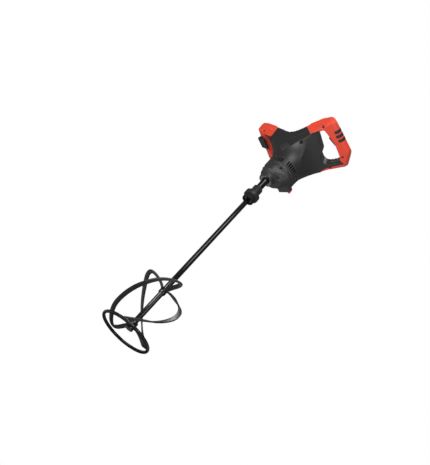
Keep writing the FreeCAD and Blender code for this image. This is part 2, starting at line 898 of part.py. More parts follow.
def gear_plate():
    plate = rod(plate_radius, plate_z, rim_z, 0, motor_offset)
    plate = plate.fuse(rod(plate_boss_radius, rim_z, rim_z + plate_boss_height, 0, motor_offset))
    seat_z = rim_z + plate_boss_height - bearing_height
    pinion = gear_tip(first_module, first_pinion_teeth, first_shift) + gear_room
    for room in (rod(bearing_radius, seat_z, rim_z + plate_boss_height + overrun, 0, motor_offset),
                 rod(pinion, plate_z - overrun, rim_z, 0, motor_offset),
                 rod(spindle_bush_radius, plate_z - overrun, rim_z + overrun),
                 rod(layshaft_bush_radius, plate_z - overrun, plate_z + layshaft_bush_length, layshaft_x,
                     layshaft_y)):
        plate = plate.cut(room)
    return plate


def bearing(low, x, y, journal, outer, height):
    return ring(outer, journal + running_gap, low, low + height, x, y)


def layshaft_bushes():
    bore = layshaft_journal + running_gap
    return [ring(layshaft_bush_radius, bore, floor_z - layshaft_bush_length, floor_z, layshaft_x, layshaft_y),
            ring(layshaft_bush_radius, bore, plate_z, plate_z + layshaft_bush_length, layshaft_x, layshaft_y)]


def layshaft():
    low_end = floor_z - layshaft_bush_length + slide_gap
    high_end = plate_z + layshaft_bush_length - slide_gap
    shaft = rod(layshaft_journal, low_end, high_end, layshaft_x, layshaft_y)
    seat = rod(layshaft_seat, output_gear_z + output_gear_width, plate_z - gear_clear, layshaft_x, layshaft_y)
    angle = towards(layshaft_x, layshaft_y, 0, 0)
    pinion = toothed(second_module, second_pinion_teeth, second_shift, output_gear_z,
                     output_gear_z + output_gear_width, layshaft_x, layshaft_y, angle)
    return shaft.fuse(seat).fuse(pinion)


def first_gear():
    angle = towards(layshaft_x, layshaft_y, 0, motor_offset) + 180.0 / first_gear_teeth
    gear = toothed(first_module, first_gear_teeth, -first_shift, first_gear_z,
                   first_gear_z + first_gear_width,
                   layshaft_x, layshaft_y, angle)
    return gear.cut(rod(layshaft_seat, 0, rim_z, layshaft_x, layshaft_y))


def output_gear():
    angle = towards(0, 0, layshaft_x, layshaft_y) + 180.0 / second_gear_teeth
    gear = toothed(second_module, second_gear_teeth, -second_shift, output_gear_z,
                   output_gear_z + output_gear_width, 0, 0, angle)
    return gear.cut(rod(output_seat, 0, rim_z))


def armature_shaft():
    bearing_z = rim_z + plate_boss_height - bearing_height
    body_z = rim_z + plate_boss_height + slide_gap
    top_z = top_bearing_z - slide_gap
    root = first_module * (first_pinion_teeth / 2 - dedendum_share + first_shift)
    shaft = turned([(0, first_gear_z), (root, first_gear_z), (root, bearing_z), (armature_journal, bearing_z),
                    (armature_journal, body_z), (armature_shaft_radius, body_z),
                    (armature_shaft_radius, top_z),
                    (armature_journal, top_z), (armature_journal, top_bearing_z + bearing_height),
                    (0, top_bearing_z + bearing_height)], 0, motor_offset)
    angle = towards(0, motor_offset, layshaft_x, layshaft_y)
    pinion = toothed(first_module, first_pinion_teeth, first_shift, first_gear_z,
                     first_gear_z + first_gear_width,
                     0, motor_offset, angle)
    return shaft.fuse(pinion)


def on_shaft(outer, low, high):
    return ring(outer, armature_shaft_radius, low, high, 0, motor_offset)


def armature_windings():
    return [on_shaft(winding_radius, stack_z - coil_height, stack_z),
            on_shaft(winding_radius, stack_top_z, stack_top_z + coil_height)]


def field_coils():
    return [ring(field_coil_outer, field_coil_inner, stack_z - coil_height, stack_z, 0, motor_offset),
            ring(field_coil_outer, field_coil_inner, stack_top_z, stack_top_z + coil_height, 0, motor_offset)]


def fan():
    wheel = rod(fan_radius, fan_z + fan_height - fan_plate - gear_clear, fan_z + fan_height - gear_clear)
    wheel = wheel.fuse(rod(fan_hub_radius, fan_z, fan_z + fan_height - gear_clear))
    for index in range(fan_blades):
        blade = block(fan_blade_start, fan_radius, -fan_blade_thickness / 2, fan_blade_thickness / 2,
                      fan_z, fan_z + fan_height - fan_plate - gear_clear)
        blade.rotate(vec(0, 0, 0), vec(0, 0, 1), 360.0 * index / fan_blades)
        wheel = wheel.fuse(blade)
    wheel = wheel.cut(rod(armature_shaft_radius, 0, saddle_z))
    wheel.translate(vec(0, motor_offset, 0))
    return wheel


def brush_parts():
    """Holders and brushes on both sides of the commutator."""
    half_width = brush_half_width + brush_holder_wall
    half_height = brush_half_height + brush_holder_wall
    end = math.sqrt((stator_radius + seat_gap) ** 2 - half_width ** 2)
    middle_z = commutator_z + commutator_height / 2
    start = commutator_radius + brush_holder_gap
    brush_start = commutator_radius + running_gap
    holder = block(start, end, -half_width, half_width, middle_z - half_height, middle_z + half_height)
    brush = block(brush_start, brush_start + brush_length, -brush_half_width, brush_half_width,
                  middle_z - brush_half_height, middle_z + brush_half_height)
    holder = holder.cut(brush)
    holders = []
    brushes = []
    for angle in (0, 180):
        for shape, store in ((holder, holders), (brush, brushes)):
            placed = shape.copy()
            placed.rotate(vec(0, 0, 0), vec(0, 0, 1), angle)
            placed.translate(vec(0, motor_offset, 0))
            store.append(placed)
    return holders, brushes


def spindle():
    collar_z = seal_depth + spindle_bearing_height + slide_gap
    seat_top = output_gear_z + output_gear_width
    body = turned([(0, -neck_length - stud_length), (stud_radius, -neck_length - stud_length),
                   (stud_radius, -neck_length), (neck_radius, -neck_length), (neck_radius, seal_depth),
                   (spindle_journal, seal_depth), (spindle_journal, collar_z), (spindle_collar, collar_z),
                   (spindle_collar, output_gear_z), (output_seat, output_gear_z), (output_seat, seat_top),
                   (spindle_top_journal, seat_top), (spindle_top_journal, rim_z), (0, rim_z)])
    for side in (1, -1):
        flat = block(flat_half, neck_radius + overrun, -neck_radius - overrun, neck_radius + overrun,
                     -flat_start - flat_height, -flat_start)
        if side < 0:
            flat = mirrored(flat)
        body = body.cut(flat)
    return body


def coupling():
    top = -neck_length
    body = rod(coupling_radius, top - coupling_length, top)
    body = body.cut(rod(stud_radius, top - stud_length, top + overrun))
    return body.cut(rod(shaft_radius, top - coupling_length - overrun, top - stud_length - coupling_web))


def lock_sleeve():
    top = -neck_length - sleeve_start
    flange = top - sleeve_grip_length
    skirt = flange - sleeve_flange_length
    end = skirt - sleeve_skirt_length
    body = turned([(0, top), (sleeve_radius, top), (sleeve_radius, flange), (sleeve_flange_radius, flange),
                   (sleeve_flange_radius, skirt), (sleeve_skirt_radius, skirt), (sleeve_skirt_radius, end),
                   (0, end)])
    body = body.cut(rod(coupling_radius + sleeve_fit, end - overrun, top + overrun))
    return body.cut(rod(sleeve_mouth_radius, end - overrun, end + sleeve_mouth_depth))


def selector_knob():
    face_y = motor_offset + selector_boss_reach
    start = face_y + slide_gap

    def along(radius, low, high):
        return Part.makeCylinder(radius, high - low, vec(selector_x, low, selector_z), vec(0, 1, 0))

    knob = along(knob_radius, start, start + knob_base)
    knob = knob.fuse(along(selector_stem_radius, face_y - selector_stem_length, start))
    bar = block(selector_x - knob_bar_width / 2, selector_x + knob_bar_width / 2, start + knob_base,
                start + knob_base + knob_bar_height, selector_z - knob_radius, selector_z + knob_radius)
    bar = bar.common(along(knob_radius, start, start + knob_base + knob_bar_height))
    return knob.fuse(bar)


# Paddle

def ribbon_path():
    """Middle line of one ribbon as (radius, angle): arm, corner, run, corner, arm."""
    straight = ribbon_radius - ribbon_corner
    turn = math.radians(ribbon_turn)
    bend = ribbon_corner / ribbon_radius
    half = []
    for step in range(arm_steps):
        half.append((straight * (step + arm_start_share) / arm_steps, 0))
    for step in range(corner_steps):
        angle = math.pi / 2 * step / corner_steps
        half.append((straight + ribbon_corner * math.sin(angle), bend * (1 - math.cos(angle))))
    run = [(ribbon_radius, bend + (turn - 2 * bend) * step / run_steps) for step in range(run_steps + 1)]
    return half + run + [(radius, turn - angle) for radius, angle in reversed(half)]


def ribbon_climb(angle):
    """Height of the band over its lower end and its slope, which gather in the middle of the turn."""
    climb = ribbon_high_rise - ribbon_low_rise
    share = angle / math.radians(ribbon_turn)
    height = climb * ((1 - ribbon_sway_share) * share + ribbon_sway_share * (3 * share ** 2 - 2 * share ** 3))
    rate = (1 - ribbon_sway_share) + ribbon_sway_share * (6 * share - 6 * share ** 2)
    return height, rate * climb / (math.radians(ribbon_turn) * ribbon_radius)


def ribbon_point(radius, angle):
    """Point of the middle line; the arms slant from the band to the hubs."""
    band = ribbon_low_rise + ribbon_climb(angle)[0]
    low_hub = lower_hub_rise + lower_hub_length / 2
    high_hub = upper_hub_rise + upper_hub_length / 2
    lean = max(0, 1 - radius / ribbon_radius)
    hub_rise = low_hub if 2 * angle < math.radians(ribbon_turn) else high_hub
    height = band + lean * (hub_rise - band) - paddle_drop
    return vec(radius * math.cos(angle), radius * math.sin(angle), height)


def ribbon_section(point, tangent):
    """Flat cross-section of the band, its face tilted by the climb."""
    angle = math.atan2(point.y, point.x)
    slope = ribbon_climb(angle)[1]
    face = vec(slope * math.sin(angle), -slope * math.cos(angle), 1)
    across = face.cross(tangent).normalize()
    face = tangent.cross(across).normalize()
    corners = []
    for width, lift in ((1, 1), (-1, 1), (-1, -1), (1, -1)):
        corners.append(point + across * (width * ribbon_half_width) + face * (lift * ribbon_half_thickness))
    return Part.makePolygon(corners + corners[:1])


def ribbons():
    spine = Part.BSplineCurve()
    spine.interpolate([ribbon_point(radius, angle) for radius, angle in ribbon_path()])
    stations = spine.discretize(Number=ribbon_stations)
    sections = [ribbon_section(point, spine.tangent(spine.parameter(point))[0]) for point in stations]
    band = Part.makeLoft(sections, True, False)
    band = band.cut(hub(lower_hub_radius, lower_hub_rise - lower_hub_length, 3 * lower_hub_length))
    band = band.cut(hub(upper_hub_radius, upper_hub_rise - upper_hub_length, 3 * upper_hub_length))
    band = band.cut(paddle_ring())
    bands = []
    for index in range(ribbon_count):
        turned_band = band.copy()
        turned_band.rotate(vec(0, 0, 0), vec(0, 0, 1), ribbon_start + 360.0 * index / ribbon_count)
        bands.append(turned_band)
    return bands


def hub(radius, rise, length):
    return rod(radius, rise - paddle_drop, rise - paddle_drop + length)


def paddle_ring():
    return Part.makeTorus(ring_radius, ring_tube, vec(0, 0, -paddle_drop))


def paddle_shaft():
    return rod(shaft_radius, shaft_end_rise - paddle_drop, -neck_length - stud_length - coupling_web)


os.makedirs("parts", exist_ok=True)

shell, cover, right_low, right_high, left_low, left_high = housing_parts()
holders, brushes = brush_parts()
shaft_hole = paddle_shaft()
nodes = {
    "housing_shell": shell,
    "saddle_cover": cover,
    "right_grip_lower": right_low,
    "right_grip_upper": right_high,
    "left_grip_lower": left_low,
    "left_grip_upper": left_high,
    "housing_screws": Part.makeCompound(housing_screws()),
    "trigger": trigger(),
    "trigger_pin": trigger_pin(pin_radius),
    "switch_body": switch_box(0),
    "lock_button": lock_button(button_radius, button_low),
    "speed_control_unit": speed_control(),
    "speed_dial": speed_dial(),
    "dial_axle": mirrored(in_grip(dial_axle(axle_radius))),
    "cable_gland": cable_gland(gland_radius).cut(cable_gland(gland_bore)),
    "stator": ring(stator_radius, stator_bore, stack_z, stack_top_z, 0, motor_offset),
    "field_coils": Part.makeCompound(field_coils()),
    "brush_holders": Part.makeCompound(holders),
    "carbon_brushes": Part.makeCompound(brushes),
    "armature_shaft": armature_shaft(),
    "armature_core": on_shaft(armature_radius, stack_z, stack_top_z),
    "armature_windings": Part.makeCompound(armature_windings()),
    "commutator": on_shaft(commutator_radius, commutator_z, commutator_z + commutator_height),
    "cooling_fan": fan(),
    "upper_motor_bearing": bearing(top_bearing_z, 0, motor_offset, armature_journal, bearing_radius,
                                   bearing_height),
    "lower_motor_bearing": bearing(rim_z + plate_boss_height - bearing_height, 0, motor_offset,
                                   armature_journal,
                                   bearing_radius, bearing_height),
    "gear_case": gear_case(),
    "gear_plate": gear_plate(),
    "gear_case_screws": Part.makeCompound(rim_screws()),
    "layshaft": layshaft(),
    "layshaft_gear": first_gear(),
    "layshaft_bushes": Part.makeCompound(layshaft_bushes()),
    "output_gear": output_gear(),
    "spindle": spindle(),
    "spindle_bearing": bearing(seal_depth, 0, 0, spindle_journal, spindle_bearing_radius,
                               spindle_bearing_height),
    "spindle_bush": bearing(plate_z, 0, 0, spindle_top_journal, spindle_bush_radius, plate_thickness),
    "retaining_ring": ring(seal_radius, seal_bore, -seal_proud, seal_depth),
    "coupling": coupling(),
    "lock_sleeve": lock_sleeve(),
    "selector_knob": selector_knob(),
    "paddle_shaft": paddle_shaft(),
    "lower_hub": hub(lower_hub_radius, lower_hub_rise, lower_hub_length).cut(shaft_hole),
    "upper_hub": hub(upper_hub_radius, upper_hub_rise, upper_hub_length).cut(shaft_hole),
    "paddle_ring": paddle_ring(),
}
for index, band in enumerate(ribbons()):
    nodes["ribbon_" + str(index + 1)] = band

for name, shape in nodes.items():
    save(name, shape)
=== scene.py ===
import math

import bmesh
import bpy
from mathutils import Matrix, Vector
from mathutils.bvhtree import BVHTree


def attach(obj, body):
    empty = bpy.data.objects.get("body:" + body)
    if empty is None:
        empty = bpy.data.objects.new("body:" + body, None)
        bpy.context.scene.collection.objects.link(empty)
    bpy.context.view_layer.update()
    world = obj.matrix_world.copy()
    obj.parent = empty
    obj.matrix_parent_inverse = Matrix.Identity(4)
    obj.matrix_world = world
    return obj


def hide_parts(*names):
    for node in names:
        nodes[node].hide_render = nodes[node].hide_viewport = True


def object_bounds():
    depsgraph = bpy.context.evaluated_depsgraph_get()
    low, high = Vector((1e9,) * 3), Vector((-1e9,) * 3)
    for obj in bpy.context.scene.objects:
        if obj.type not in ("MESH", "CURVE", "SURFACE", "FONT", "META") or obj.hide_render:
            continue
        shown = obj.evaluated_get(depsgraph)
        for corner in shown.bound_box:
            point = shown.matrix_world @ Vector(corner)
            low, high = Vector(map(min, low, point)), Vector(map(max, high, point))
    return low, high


# Mixing drill: two-handed saddle housing, lock sleeve and helical ribbon paddle.
# The frame is in metres; lengths in the tables are in millimetres, and MM turns them into metres.

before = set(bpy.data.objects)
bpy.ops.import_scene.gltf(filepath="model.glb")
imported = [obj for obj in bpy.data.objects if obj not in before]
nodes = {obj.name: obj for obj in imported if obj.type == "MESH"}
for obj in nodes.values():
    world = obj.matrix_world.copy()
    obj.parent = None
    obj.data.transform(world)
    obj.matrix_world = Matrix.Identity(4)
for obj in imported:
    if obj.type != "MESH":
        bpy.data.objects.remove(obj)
cad_low, cad_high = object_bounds()
MM = 0.001


# Shader groups

def open_group(name, inputs, outputs):
    """A new shader node group with float inputs {name: default} and named outputs {name: socket type}."""
    group = bpy.data.node_groups.new(name, "ShaderNodeTree")
    for label, value in inputs.items():
        socket = group.interface.new_socket(label, in_out="INPUT", socket_type="NodeSocketFloat")
        socket.default_value = value
    for label, kind in outputs.items():
        group.interface.new_socket(label, in_out="OUTPUT", socket_type=kind)
    return group, group.nodes.new("NodeGroupInput"), group.nodes.new("NodeGroupOutput")


def math_node(tree, operation, a, b):
    """One math node on two numbers or sockets; gives back its output."""
    node = tree.nodes.new("ShaderNodeMath")
    node.operation = operation
    for socket, value in zip(node.inputs, (a, b)):
        if isinstance(value, (int, float)):
            socket.default_value = value
        else:
            tree.links.new(value, socket)
    return node.outputs[0]


def ranged(tree, value, low, high, out_low=0.0, out_high=1.0):
    """Maps a socket from one span to another; the ends are numbers or sockets."""
    node = tree.nodes.new("ShaderNodeMapRange")
    tree.links.new(value, node.inputs["Value"])
    for label, number in (("From Min", low), ("From Max", high), ("To Min", out_low), ("To Max", out_high)):
        if isinstance(number, (int, float)):
            node.inputs[label].default_value = number
        else:
            tree.links.new(number, node.inputs[label])
    return node.outputs["Result"]


def noise(tree, scale, detail=3.0, roughness=0.5, stretch=None):
    """Noise in the piece's own space, with features per metre as its scale."""
    place = tree.nodes.new("ShaderNodeTexCoord").outputs["Object"]
    if stretch:
        mapping = tree.nodes.new("ShaderNodeMapping")
        mapping.inputs["Scale"].default_value = stretch
        tree.links.new(place, mapping.inputs["Vector"])
        place = mapping.outputs["Vector"]
    node = tree.nodes.new("ShaderNodeTexNoise")
    tree.links.new(place, node.inputs["Vector"])
    node.inputs["Detail"].default_value = detail
    node.inputs["Roughness"].default_value = roughness
    if isinstance(scale, (int, float)):
        node.inputs["Scale"].default_value = scale
    else:
        tree.links.new(scale, node.inputs["Scale"])
    return node.outputs["Fac"]


def mould_grain_group():
    """Spark-eroded grain of moulded plastic: a fine pebble over a softer, wider unevenness."""
    group, given, made = open_group(
        "mould_grain", {"Pebbles per metre": 900.0}, {"Height": "NodeSocketFloat"})
    place = group.nodes.new("ShaderNodeTexCoord").outputs["Object"]
    cells = group.nodes.new("ShaderNodeTexVoronoi")
    cells.feature = "SMOOTH_F1"
    group.links.new(place, cells.inputs["Vector"])
    group.links.new(given.outputs["Pebbles per metre"], cells.inputs["Scale"])
    wide_scale, wide_height = 0.22, 0.6
    wide = noise(group, math_node(group, "MULTIPLY", given.outputs["Pebbles per metre"], wide_scale), 2.0)
    raised = math_node(group, "MULTIPLY", wide, wide_height)
    height = math_node(group, "ADD", cells.outputs["Distance"], raised)
    group.links.new(height, made.inputs["Height"])
    return group


def edge_rub_group():
    """Mask of rubbed edges: where the rounded normal leaves the face normal, broken up by patches."""
    group, given, made = open_group(
        "edge_rub", {"Width": 0.0012, "Patches per metre": 60.0}, {"Mask": "NodeSocketFloat"})
    soft = group.nodes.new("ShaderNodeBevel")
    soft.samples = 4
    group.links.new(given.outputs["Width"], soft.inputs["Radius"])
    face = group.nodes.new("ShaderNodeNewGeometry")
    dot = group.nodes.new("ShaderNodeVectorMath")
    dot.operation = "DOT_PRODUCT"
    group.links.new(soft.outputs["Normal"], dot.inputs[0])
    group.links.new(face.outputs["Normal"], dot.inputs[1])
    turn = math_node(group, "SUBTRACT", 1.0, dot.outputs["Value"])
    edge = ranged(group, turn, 0.02, 0.22)
    patch = ranged(group, noise(group, given.outputs["Patches per metre"], 6.0, 0.65), 0.35, 0.7)
    group.links.new(math_node(group, "MULTIPLY", edge, patch), made.inputs["Mask"])
    return group


def handling_group():
    """Uneven tone of a used surface: clouds, fine speckle, and dust on what faces up."""
    group, given, made = open_group(
        "handling", {"Clouds per metre": 14.0},
        {"Tone": "NodeSocketFloat", "Dust": "NodeSocketFloat"})
    specks_per_cloud, cloud_share, speck_share = 45.0, 0.7, 0.3
    clouds = noise(group, given.outputs["Clouds per metre"], 5.0, 0.6)
    speck_scale = math_node(group, "MULTIPLY", given.outputs["Clouds per metre"], specks_per_cloud)
    specks = noise(group, speck_scale, 2.0)
    tone = math_node(group, "ADD", math_node(group, "MULTIPLY", clouds, cloud_share),
                     math_node(group, "MULTIPLY", specks, speck_share))
    group.links.new(tone, made.inputs["Tone"])
    up = group.nodes.new("ShaderNodeSeparateXYZ")
    group.links.new(group.nodes.new("ShaderNodeNewGeometry").outputs["Normal"], up.inputs[0])
    facing_up, gathered = ranged(group, up.outputs["Z"], 0.25, 1.0), ranged(group, clouds, 0.45, 0.75)
    dust = math_node(group, "MULTIPLY", facing_up, gathered)
    group.links.new(dust, made.inputs["Dust"])
    return group


def brushing_group():
    """Turned or ground metal: fine lines round the spindle axis and blotches of handling."""
    group, given, made = open_group(
        "brushing", {"Lines per metre": 1500.0}, {"Height": "NodeSocketFloat", "Tone": "NodeSocketFloat"})
    round_the_axis, blotches_per_metre = (0.02, 0.02, 1.0), 45.0
    lines = noise(group, given.outputs["Lines per metre"], 2.0, 0.5, round_the_axis)
    group.links.new(lines, made.inputs["Height"])
    group.links.new(noise(group, blotches_per_metre, 4.0, 0.6), made.inputs["Tone"])
    return group


mould_grain = mould_grain_group()
edge_rub = edge_rub_group()
handling = handling_group()
brushing = brushing_group()


# Materials

DUST_COLOUR = (0.36, 0.34, 0.31)
STEEL_RUB = {"Width": 0.0009, "Patches_per_metre": 90.0}


def placed(tree, group, **values):
    """A shader group in a material, with some of its inputs set."""
    node = tree.nodes.new("ShaderNodeGroup")
    node.node_tree = group
    for label, value in values.items():
        node.inputs[label.replace("_", " ")].default_value = value
    return node


def colour_mix(tree, share, a, b):
    """Mix of two colours, each a plain tuple or a socket."""
    node = tree.nodes.new("ShaderNodeMix")
    node.data_type = "RGBA"
    tree.links.new(share, node.inputs["Factor"])
    for socket, value in ((node.inputs["A"], a), (node.inputs["B"], b)):
        if isinstance(value, tuple):
            socket.default_value = (*value, 1.0)
        else:
            tree.links.new(value, socket)
    return node.outputs["Result"]


def start_material(name, metallic=0.0, specular=0.5):
    """A new material with its tree and its shader."""
    material = bpy.data.materials.new(name)
    material.use_nodes = True
    tree = material.node_tree
    shader = tree.nodes["Principled BSDF"]
    shader.inputs["Metallic"].default_value = metallic
    shader.inputs["Specular IOR Level"].default_value = specular
    return material, tree, shader


def bumped(tree, shader, height, strength, distance):
    """Sends a height through a bump to the shader."""
    bump = tree.nodes.new("ShaderNodeBump")
    bump.inputs["Strength"].default_value = strength
    bump.inputs["Distance"].default_value = distance
    tree.links.new(height, bump.inputs["Height"])
    tree.links.new(bump.outputs["Normal"], shader.inputs["Normal"])


def tone_of(tree, source):
    """Tone of a group, spread from 0 where the surface is deep to 1 where it is light."""
    return ranged(tree, source.outputs["Tone"], 0.3, 0.7)


def share_of(tree, mask, share):
    return math_node(tree, "MULTIPLY", mask, share)


def uneven(tree, tone, rough, duller, glossier):
    """Roughness that goes with the tone: duller where it is deep, glossier where it is light."""
    return ranged(tree, tone, 0.0, 1.0, rough + duller, rough - glossier)


def darker(colour, share):
    return tuple(share * c for c in colour)


def moulded(name, colour, deep, rubbed, rough, pebbles, grain, dusty=0.0, rub_width=0.0012, rub_share=0.5):
    """Moulded plastic or rubber: two tones, grain, lighter rubbed edges, a little dust on top."""
    material, tree, shader = start_material(name)
    wear = placed(tree, handling)
    tone = tone_of(tree, wear)
    base = colour_mix(tree, tone, deep, colour)
    rub = placed(tree, edge_rub, Width=rub_width)
    base = colour_mix(tree, share_of(tree, rub.outputs["Mask"], rub_share), base, rubbed)
    if dusty:
        base = colour_mix(tree, share_of(tree, wear.outputs["Dust"], dusty), base, DUST_COLOUR)
    tree.links.new(base, shader.inputs["Base Color"])
    tree.links.new(uneven(tree, tone, rough, 0.07, 0.07), shader.inputs["Roughness"])
    pebble = placed(tree, mould_grain, Pebbles_per_metre=pebbles)
    bumped(tree, shader, pebble.outputs["Height"], 0.6, grain)
    return material


def metal(name, colour, deep, rough, lines=1500.0, relief=0.00003):
    """Turned or ground metal with fine lines and uneven polish."""
    material, tree, shader = start_material(name, 1.0)
    finish = placed(tree, brushing, Lines_per_metre=lines)
    tone = tone_of(tree, finish)
    tree.links.new(colour_mix(tree, tone, deep, colour), shader.inputs["Base Color"])
    tree.links.new(uneven(tree, tone, rough, 0.08, 0.06), shader.inputs["Roughness"])
    bumped(tree, shader, finish.outputs["Height"], 0.4, relief)
    return material


def powder_coat(name, colour, worn, rough, peel):
    """Black coated steel: orange-peel skin and paler rubbed edges."""
    material, tree, shader = start_material(name)
    wear = placed(tree, handling, Clouds_per_metre=22.0)
    tone = tone_of(tree, wear)
    rub = placed(tree, edge_rub, **STEEL_RUB)
    base = colour_mix(tree, tone, darker(colour, 0.55), colour)
    base = colour_mix(tree, share_of(tree, rub.outputs["Mask"], 0.55), base, worn)
    tree.links.new(base, shader.inputs["Base Color"])
    tree.links.new(uneven(tree, tone, rough, 0.08, 0.06), shader.inputs["Roughness"])
    dimples_per_metre = 420.0
    bumped(tree, shader, noise(tree, dimples_per_metre, 2.0), 0.25, peel)
    return material


def turned_black(name, colour, mouth_shade, worn, rough, mouth_shade_rough, mouth_shade_height):
    """Blackened steel with turning lines; below a height it is near-black painted shade of the sleeve's
    opening.
    """
    material, tree, shader = start_material(name, specular=0.4)
    finish = placed(tree, brushing, Lines_per_metre=900.0)
    tone = tone_of(tree, finish)
    place = tree.nodes.new("ShaderNodeSeparateXYZ")
    tree.links.new(tree.nodes.new("ShaderNodeTexCoord").outputs["Object"], place.inputs[0])
    # Below the given height the colour is painted shade: near-black, dull and without rubbed edges, where the
    # opening lies in shade.
    border = 0.0006
    upper = ranged(tree, place.outputs["Z"], mouth_shade_height - border, mouth_shade_height + border)
    base = colour_mix(tree, upper, mouth_shade, colour_mix(tree, tone, darker(colour, 0.7), colour))
    rub = placed(tree, edge_rub, **STEEL_RUB)
    rubbed = math_node(tree, "MULTIPLY", share_of(tree, rub.outputs["Mask"], 0.5), upper)
    tree.links.new(colour_mix(tree, rubbed, base, worn), shader.inputs["Base Color"])
    tree.links.new(ranged(tree, upper, 0.0, 1.0, mouth_shade_rough, uneven(tree, tone, rough, 0.06, 0.06)),
                   shader.inputs["Roughness"])
    bumped(tree, shader, finish.outputs["Height"], 0.5, 0.00012)
    return material


finishes = {
    "moulded_black": moulded(
        "moulded_black", (0.020, 0.0195, 0.0205), (0.014, 0.0135, 0.0145), (0.060, 0.058, 0.060),
        rough=0.42, pebbles=1100.0, grain=0.00006, dusty=0.04),
    "moulded_red": moulded(
        "moulded_red", (0.76, 0.062, 0.027), (0.69, 0.050, 0.022), (0.86, 0.15, 0.085),
        rough=0.40, pebbles=1300.0, grain=0.00002, dusty=0.04, rub_share=0.35),
    "plate_black": moulded(
        "plate_black", (0.030, 0.029, 0.031), (0.024, 0.023, 0.025), (0.07, 0.068, 0.07),
        rough=0.30, pebbles=1900.0, grain=0.00002, dusty=0.04),
    "cast_black": moulded(
        "cast_black", (0.026, 0.025, 0.027), (0.018, 0.0175, 0.019), (0.10, 0.098, 0.10),
        rough=0.44, pebbles=650.0, grain=0.00014, dusty=0.05, rub_width=0.001, rub_share=0.6),
    "soft_black": moulded(
        "soft_black", (0.020, 0.019, 0.020), (0.013, 0.012, 0.013), (0.06, 0.058, 0.06),
        rough=0.62, pebbles=1500.0, grain=0.00007, dusty=0.05),
    "carbon": moulded(
        "carbon", (0.035, 0.035, 0.037), (0.02, 0.02, 0.021), (0.10, 0.10, 0.10),
        rough=0.55, pebbles=2400.0, grain=0.00004),
    "coated_black": powder_coat(
        "coated_black", (0.004, 0.004, 0.0045), (0.05, 0.05, 0.053), rough=0.13, peel=0.00003),
    "satin_black": powder_coat(
        "satin_black", (0.011, 0.011, 0.0115), (0.05, 0.05, 0.053), rough=0.42, peel=0.0002),
    # The sleeve's second colour is painted shade, near-black below the given height, for the shade inside its
    # opening.
    "sleeve_black": turned_black(
        "sleeve_black", (0.020, 0.020, 0.0205), (0.002, 0.002, 0.002), (0.08, 0.08, 0.083),
        rough=0.40, mouth_shade_rough=0.85, mouth_shade_height=-0.0755),
    "neck_steel": metal("neck_steel", (0.075, 0.072, 0.068), (0.045, 0.043, 0.041), rough=0.22),
    "ring_steel": metal("ring_steel", (0.24, 0.235, 0.23), (0.15, 0.147, 0.144), rough=0.20),
    "dark_steel": metal("dark_steel", (0.10, 0.098, 0.096), (0.055, 0.054, 0.053), rough=0.34),
    "ground_steel": metal("ground_steel", (0.50, 0.49, 0.48), (0.34, 0.33, 0.33), rough=0.32, lines=2200.0),
    "laminations": metal(
        "laminations", (0.22, 0.215, 0.21), (0.13, 0.127, 0.125), rough=0.45, lines=2000.0, relief=0.0001),
    "copper": metal(
        "copper", (0.72, 0.31, 0.15), (0.50, 0.19, 0.09), rough=0.34, lines=1200.0, relief=0.00015),
    "bronze": metal("bronze", (0.55, 0.36, 0.16), (0.40, 0.25, 0.11), rough=0.38),
    "brass_metal": metal("brass_metal", (0.68, 0.50, 0.20), (0.50, 0.35, 0.13), rough=0.32),
    "aluminium": metal("aluminium", (0.60, 0.60, 0.61), (0.44, 0.44, 0.45), rough=0.40),
}

node_finish = {
    "housing_shell": "moulded_black", "saddle_cover": "moulded_black",
    "right_grip_lower": "moulded_red", "right_grip_upper": "moulded_red",
    "left_grip_lower": "moulded_red", "left_grip_upper": "moulded_red",
    "housing_screws": "dark_steel", "trigger": "soft_black", "trigger_pin": "ground_steel",
    "switch_body": "soft_black", "lock_button": "soft_black", "speed_control_unit": "soft_black",
    "speed_dial": "soft_black", "dial_axle": "ground_steel", "cable_gland": "soft_black",
    "stator": "laminations", "field_coils": "copper", "brush_holders": "brass_metal",
    "carbon_brushes": "carbon", "armature_shaft": "ground_steel", "armature_core": "laminations",
    "armature_windings": "copper", "commutator": "copper", "cooling_fan": "soft_black",
    "upper_motor_bearing": "ground_steel", "lower_motor_bearing": "ground_steel",
    "gear_case": "cast_black", "gear_plate": "aluminium", "gear_case_screws": "dark_steel",
    "layshaft": "ground_steel", "layshaft_gear": "ground_steel", "layshaft_bushes": "bronze",
    "output_gear": "ground_steel", "spindle": "neck_steel", "spindle_bearing": "ground_steel",
    "spindle_bush": "bronze", "retaining_ring": "ring_steel", "coupling": "dark_steel",
    "lock_sleeve": "sleeve_black", "selector_knob": "moulded_red",
    "paddle_shaft": "coated_black", "lower_hub": "coated_black", "upper_hub": "coated_black",
    "paddle_ring": "coated_black", "ribbon_1": "satin_black", "ribbon_2": "satin_black",
    "ribbon_3": "satin_black",
}


def dress(thing, finish):
    """Gives a piece one finish in place of its materials."""
    thing.data.materials.clear()
    thing.data.materials.append(finishes[finish])


def shade_smooth(thing):
    for face in thing.data.polygons:
        face.use_smooth = True


for name, finish in node_finish.items():
    dress(nodes[name], finish)

eased_edges = {
    "lock_sleeve": 0.7, "retaining_ring": 0.35, "spindle": 0.3, "lower_hub": 0.6, "upper_hub": 0.6,
    "selector_knob": 0.6, "trigger": 0.8, "speed_dial": 0.25, "cable_gland": 0.8, "lock_button": 0.5,
    "paddle_shaft": 0.5, "gear_case_screws": 0.4,
}
WELD_GAP = 0.00001
EASE_STEPS = 3
SHARP_ANGLE = math.radians(38.0)


